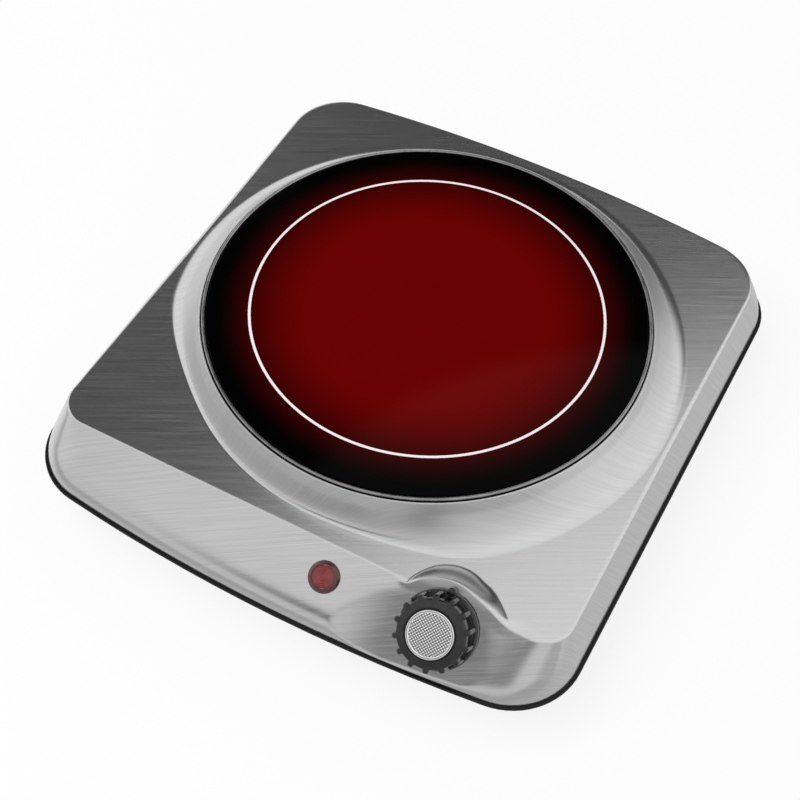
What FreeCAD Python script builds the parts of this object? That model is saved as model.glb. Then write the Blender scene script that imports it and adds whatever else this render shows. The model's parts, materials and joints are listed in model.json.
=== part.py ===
import FreeCAD, Part
import os
import re
import Sketcher
from math import atan2, cos, degrees, radians, sin, sqrt, tan
from FreeCAD import Placement, Rotation, Vector

# A single hot plate: a pressed steel cover on a black moulded pan, a round glass plate over a radiant
# heater, and a sloped front panel with a lamp and the knob of a thermostat.
# Millimetres. +Z is up, the front with the knob faces -Y, and the origin is on the table under the
# middle of the pan.

SIZES = {
    # Outline of the pan and the cover, seen from above
    "side_margin": "4.8",
    "front_margin": "0.7",
    "back_margin": "6.7",
    "front_corner": "29.5",
    "back_corner": "25.5",
    "front_bow": "745",
    "back_bow": "710",
    "rim_overhang": "1.2",
    "skirt_flare": "1.5",
    "side_draft": "4.6",
    "panel_run": "24.6",
    "front_crease_corner": "13",
    "back_crease_corner": "24",
    # Heights, from the table to the top of the glass
    "foot_height": "9",
    "pan_depth": "16.8",
    "rim_height": "1.2",
    "skirt_height": "6",
    "panel_drop": "14.5",
    "glass_rise": "16",
    # Pressed cover
    "sheet_gauge": "0.8",
    "bend_reach": "3.6",
    "crease_radius": "2",
    "boss_blend": "3.4",
    "boss_slope_run": "8.2",
    "boss_slope_rise": "10.8",
    "boss_step_run": "1.6",
    "boss_rim_width": "0.6",
    "boss_rim_drop": "0.9",
    "well_clearance": "0.45",
    "ledge_width": "9.5",
    # Moulded pan
    "pan_slope_run": "16",
    "pan_wall": "2",
    "pan_rim_width": "5.6",
    "rib_height": "3",
    "rib_clearance": "1.4",
    "rim_round": "0.5",
    "vent_count": "7",
    "vent_length": "34",
    "vent_width": "4",
    "vent_pitch": "9",
    "vent_row_offset": "42",
    # Feet and the legs that tie the pan to the cover
    "foot_radius": "9",
    "foot_side_setback": "28",
    "foot_front_setback": "4",
    "foot_back_setback": "36",
    "foot_taper": "1.2",
    "foot_recess_radius": "5",
    "foot_recess_depth": "5",
    "leg_width": "12",
    "leg_reach": "6",
    "leg_gauge": "1.2",
    # Fasteners
    "screw_radius": "1.9",
    "screw_head_radius": "3.6",
    "screw_head_height": "2.2",
    "screw_grip": "3",
    "hole_clearance": "0.3",
    "thread_clearance": "0.05",
    # Glass plate, its trim and its seal
    "glass_radius": "90",
    "glass_thickness": "4",
    "glass_chamfer": "0.5",
    "trim_gap": "0.15",
    "trim_width": "1.4",
    "gasket_thickness": "1",
    "gasket_width": "6.5",
    # Radiant heater
    "heater_radius": "80",
    "heater_height": "26.5",
    "dish_gauge": "0.6",
    "dish_rim_gap": "1.5",
    "insulation_clearance": "0.3",
    "insulation_depth": "9.5",
    "insulation_wall": "7",
    "glass_gap": "0.2",
    "ribbon_thickness": "1",
    "ribbon_height": "5",
    "ribbon_turns": "6",
    "ribbon_pitch": "10",
    "ribbon_start_radius": "8",
    "rod_radius": "2",
    "rod_height": "19",
    "rod_inner_end": "60",
    "limiter_length": "11",
    "limiter_width": "20",
    "limiter_height": "14",
    "limiter_drop": "10",
    "limiter_gap": "0.3",
    "tab_width": "4.8",
    "tab_thickness": "0.8",
    "tab_length": "8",
    "tab_spacing": "10",
    # Bridge that holds the heater up
    "bridge_half_length": "58",
    "bridge_flange": "14",
    "bridge_width": "30",
    "bridge_gauge": "1.2",
    "bridge_hole_spacing": "18",
    "heater_bolt_spacing": "70",
    "heater_bolt_radius": "1.9",
    "heater_bolt_head_radius": "3.5",
    "heater_bolt_head_height": "2",
    "nut_height": "3",
    "nut_across_flats": "7",
    # Knob, seat and spindle, along an axis square to the flat round the knob
    "knob_line": "11.4",
    "knob_x": "66.2",
    "knob_seat_radius": "23.8",
    "knob_seat_drop": "4.7",
    "knob_flat_half": "23",
    "knob_flat_lean": "14",
    "knob_seat_depth": "12",
    "knob_seat_draft": "23",
    "knob_gap": "0.6",
    "knob_skirt_radius": "15.4",
    "knob_skirt_edge": "1.4",
    "knob_drum_foot": "3.4",
    "knob_drum_radius": "13.4",
    "knob_drum_top_radius": "13.2",
    "knob_drum_height": "12.1",
    "knob_height": "13.3",
    "knob_wall": "2",
    "knob_hub_radius": "5.6",
    "knob_cavity_depth": "4.6",
    "rib_count": "14",
    "rib_width": "1.7",
    "rib_reach": "1.4",
    "pointer_radius": "1.7",
    "pointer_height": "3.6",
    "cap_radius": "9.1",
    "cap_recess": "1.2",
    "cap_stand": "0.5",
    "cap_rim_width": "0.9",
    "cap_clearance": "0.1",
    "spindle_radius": "2.5",
    "spindle_flat": "0.8",
    "spindle_reach": "10.5",
    "spindle_end_gap": "0.1",
    "running_clearance": "0.05",
    "clip_gauge": "0.6",
    "clip_length": "4.5",
    "clip_gap": "2.4",
    "retainer_radius": "4.6",
    "retainer_gauge": "0.6",
    # Thermostat behind the panel
    "bracket_gap": "0.45",
    "bracket_gauge": "1.5",
    "bracket_width": "16",
    "bracket_reach": "9",
    "stack_offset": "16",
    "stack_margin": "6",
    "bush_radius": "4",
    "bush_flange_radius": "6.5",
    "bush_flange_thickness": "2",
    "bush_stand": "3.4",
    "bush_nut_height": "2.2",
    "bush_nut_across_flats": "12",
    "spacer_radius": "4.5",
    "spacer_height": "3",
    "rivet_radius": "1.5",
    "rivet_head_radius": "2.8",
    "rivet_head_height": "1.2",
    "blade_width": "6",
    "blade_thickness": "0.5",
    "blade_reach": "6",
    "blade_tail": "9",
    "bimetal_thickness": "0.8",
    "contact_radius": "1.6",
    # Indicator lamp
    "lamp_x": "18.7",
    "control_line": "12.4",
    "lamp_bezel_radius": "6.3",
    "lamp_bezel_height": "1.5",
    "lamp_body_radius": "5.4",
    "lamp_body_length": "13",
    "lamp_wall": "0.9",
    "lens_radius": "4.7",
    "lens_depth": "2.5",
    "lens_crown": "0.6",
    "bulb_radius": "2.6",
    "bulb_length": "8",
    "lamp_clip_radius": "8.5",
    "lamp_clip_gauge": "0.8",
    # Mains inlet and terminal block
    "inlet_level": "0.4",
    "inlet_bore": "3.4",
    "inlet_neck_radius": "4.6",
    "inlet_flange_radius": "5.8",
    "inlet_flange_thickness": "1.6",
    "inlet_slack": "0.4",
    "block_length": "30",
    "block_width": "12",
    "block_height": "11",
    "block_setback": "34",
    "block_x": "-26",
    "pole_pitch": "9",
    "pole_radius": "1.9",
    "clamp_radius": "1.5",
    "clamp_length": "4",
    # Wires
    "wire_radius": "1.2",
    "lead_radius": "0.8",
    "wire_lane": "8",
    "wire_run": "8",
}

doc = FreeCAD.newDocument("HotPlate")
sheet = doc.addObject("Spreadsheet::Sheet", "dims")
for row, (name, number) in enumerate(SIZES.items(), start=1):
    sheet.set(f"A{row}", name)
    sheet.set(f"B{row}", number)
    sheet.setAlias(f"B{row}", name)
doc.recompute()


def bound(text):
    """The expression with every size name pointed at its cell."""
    def cell(word):
        return "dims." + word.group(0) if word.group(0) in SIZES else word.group(0)
    return re.sub(r"[a-z_]+", cell, text)


def value(text):
    """The number that an expression on the sizes gives."""
    return float(sheet.evalExpression(bound(text)))


pieces = {}


def hand_in(label, piece):
    """Name a finished piece, and keep it for the check and the export."""
    piece.Label = label
    pieces[label] = piece
    return piece


def shift(x=0.0, y=0.0, z=0.0, angle=0.0, axis=Vector(0, 0, 1)):
    return Placement(Vector(x, y, z), Rotation(axis, angle))


# Levels and places that several pieces share
PAN_UNDERSIDE = value("foot_height")
PAN_FLOOR = value("foot_height + pan_wall")
RIM_UNDERSIDE = value("foot_height + pan_depth")
LIP = value("foot_height + pan_depth + rim_height")
FLAT_FOOT = LIP + value("sheet_gauge")
BEND = value("foot_height + pan_depth + rim_height + skirt_height")
PLATEAU = value("foot_height + pan_depth + rim_height + skirt_height + panel_drop")
GLASS_TOP = PLATEAU + value("glass_rise")
GLASS_UNDERSIDE = GLASS_TOP - value("glass_thickness")
LEDGE = GLASS_UNDERSIDE - value("gasket_thickness")
WELL_RADIUS = value("glass_radius + trim_gap + trim_width + well_clearance")
BOSS_RIM_RADIUS = WELL_RADIUS + value("boss_rim_width")
STEP_FOOT_RADIUS = BOSS_RIM_RADIUS + value("boss_step_run")
BOSS_FOOT_RADIUS = STEP_FOOT_RADIUS + value("boss_slope_run")
BOSS_REACH = BOSS_FOOT_RADIUS + value("boss_blend")
BASE_HALF = BOSS_REACH + value("side_margin + side_draft + skirt_flare + rim_overhang")
FRONT_REACH = BOSS_REACH + value("front_margin + panel_run + skirt_flare + rim_overhang")
BACK_REACH = BOSS_REACH + value("back_margin + side_draft + skirt_flare + rim_overhang")
BASE_EDGE = (FRONT_REACH + BACK_REACH) / 2
GLASS_Y = (FRONT_REACH - BACK_REACH) / 2
CREASE_Y = GLASS_Y - BOSS_REACH - value("front_margin")
DISH_FLOOR = GLASS_UNDERSIDE - value("heater_height")


# Sketch helpers: every corner of an outline is pinned to the sizes

def pin(sketch, corner, kind, text):
    """Hold one coordinate of a corner: on the axis where it is 0, else at an expression."""
    if text == "0":
        axis = -2 if kind == "DistanceX" else -1
        sketch.addConstraint(Sketcher.Constraint("PointOnObject", corner, 1, axis))
        return
    index = sketch.addConstraint(Sketcher.Constraint(kind, -1, 1, corner, 1, value(text)))
    sketch.setExpression(f"Constraints[{index}]", bound(text))


def new_sketch(body, role):
    sketch = body.newObject("Sketcher::SketchObject", body.Name + "_sketch")
    plane = next(item for item in body.Origin.OriginFeatures if item.Role == role)
    sketch.AttachmentSupport = [(plane, "")]
    sketch.MapMode = "FlatFace"
    return sketch


def polygon(body, role, corners):
    """A closed outline on an origin plane, through corners given as pairs of expressions."""
    sketch = new_sketch(body, role)
    places = [Vector(value(across), value(up), 0) for across, up in corners]
    count = len(places)
    for start, end in zip(places, places[1:] + places[:1]):
        sketch.addGeometry(Part.LineSegment(start, end))
    for side in range(count):
        sketch.addConstraint(Sketcher.Constraint("Coincident", side, 2, (side + 1) % count, 1))
    for side, (across, up) in enumerate(corners):
        pin(sketch, side, "DistanceX", across)
        pin(sketch, side, "DistanceY", up)
    return sketch


def turned(label, corners):
    """A piece turned about its own Z axis from a half section of (radius, height) corners."""
    body = doc.addObject("PartDesign::Body", label)
    sketch = polygon(body, "XZ_Plane", corners)
    turn = body.newObject("PartDesign::Revolution", label + "_turn")
    turn.Profile = sketch
    turn.ReferenceAxis = (sketch, ["V_Axis"])
    turn.Angle = 360
    return body


def cut_from(label, role, corners, length, middle=False):
    """A piece of constant section: an outline on an origin plane, padded to a length."""
    body = doc.addObject("PartDesign::Body", label)
    sketch = polygon(body, role, corners)
    pad = body.newObject("PartDesign::Pad", label + "_pad")
    pad.Profile = sketch
    pad.setExpression("Length", bound(length))
    if middle:
        pad.SideType = "Symmetric"
    return body


def rod(radius, length, place):
    """A plain round tool or piece along its local Z."""
    bar = doc.addObject("Part::Cylinder", "round_bar")
    bar.setExpression("Radius", bound(radius))
    bar.setExpression("Height", bound(length))
    bar.Placement = place
    return bar


def block(length, width, height, place):
    """A plain box from its local origin corner."""
    box = doc.addObject("Part::Box", "plain_block")
    box.setExpression("Length", bound(length))
    box.setExpression("Width", bound(width))
    box.setExpression("Height", bound(height))
    box.Placement = place
    return box


def pierced(base, tools):
    """The base piece with every tool cut out of it."""
    tool = tools[0]
    if len(tools) > 1:
        tool = doc.addObject("Part::MultiFuse", base.Name + "_tools")
        tool.Shapes = tools
    cut = doc.addObject("Part::Cut", base.Name + "_pierced")
    cut.Base = base
    cut.Tool = tool
    return cut


def group(label, master, places):
    """Like pieces as one group of separate solids, each a link to the same master."""
    links = []
    for place in places:
        link = doc.addObject("App::Link", label + "_copy")
        link.LinkedObject = master
        link.Placement = place
        links.append(link)
    compound = doc.addObject("Part::Compound", label + "_group")
    compound.Links = links
    return hand_in(label, compound)


def pressed(label, shape):
    """A formed piece whose shape is worked out below from the sizes."""
    feature = doc.addObject("Part::Feature", label + "_form")
    feature.Shape = shape
    return feature


# Outlines of the cover and the pan: straight sides, bowed front and back, round corners.
# An outline is (half width, front, back, front curvature, back curvature, front and back corner).

def mix(first, second, share):
    return tuple(a + (b - a) * share for a, b in zip(first, second))


def corner_points(half, edge, curvature, radius, side):
    """Where a corner arc leaves the bowed edge, passes its middle and meets the straight side.

    side is -1 at the front and +1 at the back. The corner's circle touches the side, and touches the
    bowed edge from inside.
    """
    centre_x = half - radius
    if curvature < 1e-9:
        centre_y = edge - side * radius
        tip = Vector(centre_x, edge, 0)
    else:
        bow = 1 / curvature
        bow_centre = edge - side * bow
        centre_y = bow_centre + side * sqrt((bow - radius) ** 2 - centre_x ** 2)
        stretch = bow / (bow - radius)
        tip = Vector(centre_x * stretch, bow_centre + (centre_y - bow_centre) * stretch, 0)
    turn = atan2(tip.y - centre_y, tip.x - centre_x) / 2
    middle = Vector(centre_x + radius * cos(turn), centre_y + radius * sin(turn), 0)
    return tip, middle, Vector(half, centre_y, 0)


def outline(shape, level):
    """The closed wire of an outline at a height, always starting at the front left."""
    half, front, back, front_curve, back_curve, front_corner, back_corner = shape
    right_front = corner_points(half, front, front_curve, front_corner, -1)
    right_back = corner_points(half, back, back_curve, back_corner, 1)

    def at(point, flip=1):
        return Vector(flip * point.x, point.y, level)

    def edge_across(start, apex, end, curvature):
        if curvature < 1e-9:
            return Part.LineSegment(start, end).toShape()
        return Part.Arc(start, Vector(0, apex, level), end).toShape()

    tip_f, mid_f, side_f = right_front
    tip_b, mid_b, side_b = right_back
    return Part.Wire([
        edge_across(at(tip_f, -1), front, at(tip_f), front_curve),
        Part.Arc(at(tip_f), at(mid_f), at(side_f)).toShape(),
        Part.LineSegment(at(side_f), at(side_b)).toShape(),
        Part.Arc(at(side_b), at(mid_b), at(tip_b)).toShape(),
        edge_across(at(tip_b), back, at(tip_b, -1), back_curve),
        Part.Arc(at(tip_b, -1), at(mid_b, -1), at(side_b, -1)).toShape(),
        Part.LineSegment(at(side_b, -1), at(side_f, -1)).toShape(),
        Part.Arc(at(side_f, -1), at(mid_f, -1), at(tip_f, -1)).toShape(),
    ])


def base_outline(inset):
    """The pan's rim outline, drawn in by an inset on every side."""
    half = BASE_HALF - inset
    edge = BASE_EDGE - inset
    front_curve = 1 / (value("front_bow") - inset)
    back_curve = 1 / (value("back_bow") - inset)
    front_corner = value("front_corner") - inset
    back_corner = value("back_corner") - inset
    return half, -edge, edge, front_curve, back_curve, front_corner, back_corner


def crease_outline(side_inset, front_inset):
    """The plateau's outline: a straight front crease, straight sides and a bowed back."""
    draft = value("rim_overhang + skirt_flare + side_draft")
    half = BASE_HALF - draft - side_inset
    back = BASE_EDGE - draft - side_inset
    back_curve = 1 / (value("back_bow") - draft - side_inset)
    front_corner = value("front_crease_corner") - front_inset
    back_corner = value("back_crease_corner") - side_inset
    return half, CREASE_Y + front_inset, back, 0.0, back_curve, front_corner, back_corner


# Frames on the sloped front: the origin on its outer face, X along the front, Y up the slope and Z
# square to it, outwards. The lamp is on the panel, which ends at the bend. The knob is on a steeper
# flat that runs on down almost to the lip.

def slope_frame(x, line, foot_inset, foot_level):
    bow = value("front_bow") - foot_inset
    fall = sqrt(bow ** 2 - x ** 2)
    crease = Vector(x, CREASE_Y, PLATEAU)
    foot = Vector(x, foot_inset - BASE_EDGE + bow - fall, foot_level)
    slope = foot - crease
    share = line / slope.Length
    along = Vector(1, share * x / fall, 0)
    outward = slope.cross(along)
    return Placement(crease + slope * share, Rotation(along, outward.cross(along), outward, "ZXY"))


knob_frame = slope_frame(value("knob_x"), value("knob_line"), value("rim_overhang"), FLAT_FOOT)
lamp_frame = slope_frame(value("lamp_x"), value("control_line"), value("rim_overhang + skirt_flare"), BEND)


def inlet_frame():
    """On the cover's back wall, above the bend: Z outwards, square to the wall."""
    back = BASE_EDGE - value("rim_overhang + skirt_flare + side_draft * inlet_level")
    lean = atan2(value("side_draft"), value("panel_drop"))
    turn = Rotation(Vector(1, 0, 0), -90 + degrees(lean))
    return Placement(Vector(0, back, BEND + value("panel_drop * inlet_level")), turn)


# Top cover: one steel pressing, with a sloped front panel, a round boss that carries the glass, a flat
# pressed into the panel round the knob and a pad behind the knob that stands up out of the plateau

def boss_profile(inset):
    """Half section of the boss: a long slope with a hollow foot, then a short steep step."""
    foot = Vector(BOSS_FOOT_RADIUS - inset / 2, 0, PLATEAU - inset)
    step = Vector(STEP_FOOT_RADIUS - inset / 2, 0, PLATEAU + value("boss_slope_rise") - inset)
    rim = Vector(BOSS_RIM_RADIUS - inset, 0, GLASS_TOP - value("boss_rim_drop") - inset)
    reach = value("boss_blend")
    blend_in = foot + Vector(reach, 0, 0)
    blend_out = foot + (step - foot).normalize() * reach
    blend_middle = (blend_in + foot * 2 + blend_out) * 0.25
    sunk = Vector(0, 0, PLATEAU - 2 * value("skirt_height"))
    edges = [
        Part.Arc(blend_in, blend_middle, blend_out).toShape(),
        Part.LineSegment(blend_out, step).toShape(),
        Part.LineSegment(step, rim).toShape(),
        Part.LineSegment(rim, Vector(0, 0, rim.z)).toShape(),
        Part.LineSegment(Vector(0, 0, rim.z), sunk).toShape(),
        Part.LineSegment(sunk, Vector(blend_in.x, 0, sunk.z)).toShape(),
        Part.LineSegment(Vector(blend_in.x, 0, sunk.z), blend_in).toShape(),
    ]
    return Part.Face(Part.Wire(edges))


def knob_seat(inset):
    """Round pad with a drafted wall, from the crease upwards, still proud of the flat's plane."""
    depth = value("knob_seat_depth")
    spare = value("sheet_gauge")
    taper = tan(radians(value("knob_seat_draft")))
    radius = value("knob_seat_radius") - inset
    foot_radius = radius + depth * taper
    foot = Vector(0, -value("knob_seat_drop"), -depth - inset)
    cone = Part.makeCone(foot_radius, radius - spare * taper, depth + spare, foot)
    above_crease = Part.makeBox(4 * foot_radius, 2 * foot_radius, 2 * depth,
                                Vector(-2 * foot_radius, value("knob_line - crease_radius"), foot.z))
    seat = cone.common(above_crease)
    seat.Placement = knob_frame
    return seat


def knob_flat(inset):
    """What is pressed away over the plane of the knob's flat, between two gently leaning sides."""
    half = value("knob_flat_half")
    height = value("knob_seat_depth")
    spread = half + height / tan(radians(value("knob_flat_lean")))
    section = Part.makePolygon([
        Vector(-half, -spread, -inset),
        Vector(half, -spread, -inset),
        Vector(spread, -spread, height - inset),
        Vector(-spread, -spread, height - inset),
        Vector(-half, -spread, -inset),
    ])
    flat = Part.Face(section).extrude(Vector(0, 2 * spread, 0))
    flat.Placement = knob_frame
    return flat


def cover_form(inset):
    """The cover as a solid block, with every face moved in by the inset."""
    overhang = value("rim_overhang")
    run = value("panel_run")
    drop = value("panel_drop")
    side_share = tan(atan2(drop, value("side_draft")) / 2)
    front_share = tan(atan2(drop, run) / 2)
    lip = base_outline(overhang + inset)
    bend = base_outline(overhang + value("skirt_flare") + inset)
    crease = crease_outline(inset * side_share, inset * front_share)
    lip_level = LIP - (value("rim_height") if inset else 0)
    bend_level = BEND - inset * tan(atan2(run, drop) / 2)
    crease_level = PLATEAU - inset
    reach = value("bend_reach")
    low_share = reach / value("skirt_height")
    high_share = reach / drop
    low = mix(bend, lip, low_share) + (bend_level - reach,)
    knee = bend + (bend_level,)
    high = mix(bend, crease, high_share) + (bend_level + reach,)
    levels = [lip + (lip_level,)]
    for step in (0, 0.25, 0.5, 0.75, 1):
        levels.append(mix(mix(low, knee, step), mix(knee, high, step), step))
    levels.append(crease + (crease_level,))
    loft = Part.makeLoft([outline(level[:7], level[7]) for level in levels], True, True)
    creases = [edge for edge in loft.Edges
               if min(edge.BoundBox.ZMin, edge.BoundBox.ZMax) > crease_level - 0.001]
    loft = loft.makeFillet(value("crease_radius") - inset, creases)
    boss = boss_profile(inset).revolve(Vector(0, 0, 0), Vector(0, 0, 1), 360)
    boss.translate(Vector(0, GLASS_Y, 0))
    return loft.fuse([boss, knob_seat(inset)]).cut(knob_flat(inset))


def glass_well():
    """Short wall and ledge, turned down inside the boss, that hold the glass."""
    gauge = value("sheet_gauge")
    rim = GLASS_TOP - value("boss_rim_drop")
    wall = Part.makeCylinder(WELL_RADIUS + gauge, rim - LEDGE + gauge, Vector(0, GLASS_Y, LEDGE - gauge))
    hollow = Part.makeCylinder(WELL_RADIUS, rim - LEDGE + gauge, Vector(0, GLASS_Y, LEDGE))
    mouth = WELL_RADIUS - value("ledge_width")
    opening = Part.makeCylinder(mouth, PLATEAU, Vector(0, GLASS_Y, LEDGE - gauge))
    return wall.cut(hollow).cut(opening)


crown = Part.makeCylinder(WELL_RADIUS, PLATEAU, Vector(0, GLASS_Y, PLATEAU - value("skirt_height")))
shell = cover_form(0).cut(cover_form(value("sheet_gauge"))).cut(crown).fuse(glass_well())
cover_sheet = pressed("top_cover", shell.removeSplitter())
hole_depth = "4 * knob_gap + 4 * sheet_gauge"
through_panel = shift(z=-value(hole_depth) / 2)
cover_holes = [
    rod("bush_radius + hole_clearance", hole_depth, knob_frame * through_panel),
    rod("lamp_body_radius + hole_clearance", hole_depth, lamp_frame * through_panel),
    rod("inlet_neck_radius + hole_clearance", hole_depth, inlet_frame() * through_panel),
]
hand_in("top_cover", pierced(cover_sheet, cover_holes))


# Base pan: a black moulded tray with sloped sides, a round-nosed rim that the cover stands on, and a
# rib inside the cover

def pan_solid():
    slope = value("pan_slope_run")
    wall = value("pan_wall")
    rim_width = value("pan_rim_width")
    depth = value("pan_depth")
    rib_inset = value("rim_overhang + sheet_gauge + rib_clearance")
    tray = Part.makeLoft([
        outline(base_outline(slope), PAN_UNDERSIDE),
        outline(base_outline(0), RIM_UNDERSIDE),
    ], True, True)
    band = Part.Face(outline(base_outline(0), RIM_UNDERSIDE)).extrude(Vector(0, 0, value("rim_height")))
    nose = [edge for edge in band.Edges if abs(edge.BoundBox.ZMax - edge.BoundBox.ZMin) < 0.001]
    band = band.makeFillet(value("rim_round"), nose)
    rib = Part.Face(outline(base_outline(rib_inset), LIP - wall)).extrude(
        Vector(0, 0, wall + value("rib_height")))
    rib = rib.cut(knob_flat(value("sheet_gauge + rib_clearance")))
    floor_inset = slope * (1 - wall / depth) + wall * 1.4
    hollow = Part.makeLoft([
        outline(base_outline(floor_inset), PAN_FLOOR),
        outline(base_outline(rim_width), RIM_UNDERSIDE),
    ], True, True)
    mouth = Part.Face(outline(base_outline(rim_width), RIM_UNDERSIDE)).extrude(
        Vector(0, 0, value("rim_height + 2 * rib_height")))
    return tray.fuse([band, rib]).cut(hollow).cut(mouth)


def vent_slots():
    """Two rows of round-ended slots in the floor, in front of and behind the heater's bridge."""
    width = value("vent_width")
    straight = value("vent_length") - width
    count = int(value("vent_count"))
    slots = []
    for row in (-1, 1):
        for place in range(count):
            x = (place - (count - 1) / 2) * value("vent_pitch")
            y = GLASS_Y + row * value("vent_row_offset")
            bar = Part.makeBox(width, straight, 4 * value("pan_wall"),
                               Vector(x - width / 2, y - straight / 2, 0))
            ends = [Part.makeCylinder(width / 2, 4 * value("pan_wall"), Vector(x, y + end * straight / 2, 0))
                    for end in (-1, 1)]
            slot = bar.fuse(ends)
            slot.translate(Vector(0, 0, PAN_UNDERSIDE - value("pan_wall")))
            slots.append(slot)
    return slots


FOOT_PLACES = [
    (side * (BASE_HALF - value("foot_side_setback")), y)
    for y in (CREASE_Y + value("leg_width / 2 + foot_front_setback"), BASE_EDGE - value("foot_back_setback"))
    for side in (-1, 1)
]
BRIDGE_PLACES = [
    (side * value("bridge_half_length + bridge_flange / 2"), GLASS_Y + row * value("bridge_hole_spacing / 2"))
    for side in (-1, 1)
    for row in (-1, 1)
]
BLOCK_PLACE = (value("block_x"), BASE_EDGE - value("block_setback"))

pan = pressed("base_pan", pan_solid().cut(vent_slots()).removeSplitter())
screw_hole_depth = "4 * pan_wall"
pan_holes = [
    rod("screw_radius + hole_clearance", screw_hole_depth, shift(x, y, PAN_UNDERSIDE - value("pan_wall")))
    for x, y in FOOT_PLACES + BRIDGE_PLACES + [BLOCK_PLACE]
]
hand_in("base_pan", pierced(pan, pan_holes))


# Fasteners: pan-head screws, driven upwards, with the head's bearing face at local zero

def screw(label, length, radius="screw_radius", head="screw_head_radius", height="screw_head_height"):
    return turned(label, [
        ("0", f"-({height})"),
        (f"{head} * 0.8", f"-({height})"),
        (head, f"-({height}) * 0.6"),
        (head, "0"),
        (radius, "0"),
        (radius, f"{length} - {radius} / 2"),
        (f"{radius} / 2", length),
        ("0", length),
    ])


def hex_nut(label, across, height, bore):
    """A hexagon nut on its local Z, with a plain bore."""
    corner = f"{across} / sqrt(3)"
    half = f"{across} / sqrt(3) / 2"
    flat = f"{across} / 2"
    body = cut_from(label, "XY_Plane", [
        (corner, "0"), (half, flat), (f"-{half}", flat),
        (f"-({corner})", "0"), (f"-{half}", f"-{flat}"), (half, f"-{flat}"),
    ], height)
    return pierced(body, [rod(bore, f"3 * ({height})", shift(z=-value(height)))])


# Rubber feet, each held by the screw that ties the pan to a leg of the cover

foot = turned("foot_master", [
    ("foot_recess_radius", "0"),
    ("foot_radius - foot_taper", "0"),
    ("foot_radius", "foot_height"),
    ("screw_radius + hole_clearance", "foot_height"),
    ("screw_radius + hole_clearance", "foot_recess_depth"),
    ("foot_recess_radius", "foot_recess_depth"),
])
group("rubber_feet", foot, [shift(x, y) for x, y in FOOT_PLACES])

base_screw = screw("base_screw_master", "foot_height - foot_recess_depth + pan_wall + leg_gauge + screw_grip")
group("base_screws", base_screw, [shift(x, y, value("foot_recess_depth")) for x, y in FOOT_PLACES])

leg_height = "pan_depth + rim_height + skirt_height + panel_drop - pan_wall - sheet_gauge"
leg = cut_from("leg_master", "XZ_Plane", [
    ("-leg_reach", "0"),
    ("leg_reach + leg_gauge", "0"),
    ("leg_reach + leg_gauge", leg_height),
    ("-leg_reach", leg_height),
    ("-leg_reach", f"{leg_height} - leg_gauge"),
    ("leg_reach", f"{leg_height} - leg_gauge"),
    ("leg_reach", "leg_gauge"),
    ("-leg_reach", "leg_gauge"),
], "leg_width", middle=True)
leg_drilled = pierced(leg, [
    rod("screw_radius + thread_clearance", "3 * leg_gauge", shift(z=-value("leg_gauge"))),
])
group("mounting_legs", leg_drilled, [
    shift(x, y, PAN_FLOOR, 0 if x > 0 else 180) for x, y in FOOT_PLACES
])


# Glass plate, its metal trim ring and the soft seal under both

glass = turned("glass_plate", [
    ("0", "0"),
    ("glass_radius - glass_chamfer", "0"),
    ("glass_radius", "glass_chamfer"),
    ("glass_radius", "glass_thickness - glass_chamfer"),
    ("glass_radius - glass_chamfer", "glass_thickness"),
    ("0", "glass_thickness"),
])
glass.Placement = shift(y=GLASS_Y, z=GLASS_UNDERSIDE)
hand_in("glass_plate", glass)

trim = turned("glass_trim_ring", [
    ("glass_radius + trim_gap", "0"),
    ("glass_radius + trim_gap + trim_width", "0"),
    ("glass_radius + trim_gap + trim_width", "glass_thickness - trim_width / 4"),
    ("glass_radius + trim_gap + trim_width * 3 / 4", "glass_thickness"),
    ("glass_radius + trim_gap + trim_width / 4", "glass_thickness"),
    ("glass_radius + trim_gap", "glass_thickness - trim_width / 4"),
])
trim.Placement = shift(y=GLASS_Y, z=GLASS_UNDERSIDE)
hand_in("glass_trim_ring", trim)

gasket_outer = "glass_radius + trim_gap + trim_width"
gasket = turned("glass_gasket", [
    (f"{gasket_outer} - gasket_width", "0"),
    (gasket_outer, "0"),
    (gasket_outer, "gasket_thickness"),
    (f"{gasket_outer} - gasket_width", "gasket_thickness"),
])
gasket.Placement = shift(y=GLASS_Y, z=LEDGE)
hand_in("glass_gasket", gasket)


# Radiant heater: a steel dish lined with insulation, a flat spiral of ribbon and a rod limiter

insulation_radius = "heater_radius - dish_gauge - insulation_clearance"
heater_bore = f"{insulation_radius} - insulation_wall"
dish = turned("heater_dish", [
    ("0", "0"),
    ("heater_radius", "0"),
    ("heater_radius", "heater_height - dish_rim_gap"),
    ("heater_radius - dish_gauge", "heater_height - dish_rim_gap"),
    ("heater_radius - dish_gauge", "dish_gauge"),
    ("0", "dish_gauge"),
])
dish.Placement = shift(y=GLASS_Y, z=DISH_FLOOR)
BOLT_PLACES = [(side * value("heater_bolt_spacing / 2"), GLASS_Y) for side in (-1, 1)]
along_x = Rotation(Vector(0, 1, 0), 90)
rod_start = Vector(-value("rod_inner_end"), GLASS_Y, DISH_FLOOR + value("rod_height"))
rod_place = Placement(rod_start, along_x)
rod_length = "rod_inner_end + heater_radius + limiter_gap"
dish_holes = [
    rod("heater_bolt_radius + hole_clearance", "6 * dish_gauge",
        shift(x, y, DISH_FLOOR - 3 * value("dish_gauge")))
    for x, y in BOLT_PLACES
]
dish_holes.append(rod("rod_radius + hole_clearance", f"{rod_length} + dish_gauge", rod_place))
hand_in("heater_dish", pierced(dish, dish_holes))

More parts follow.
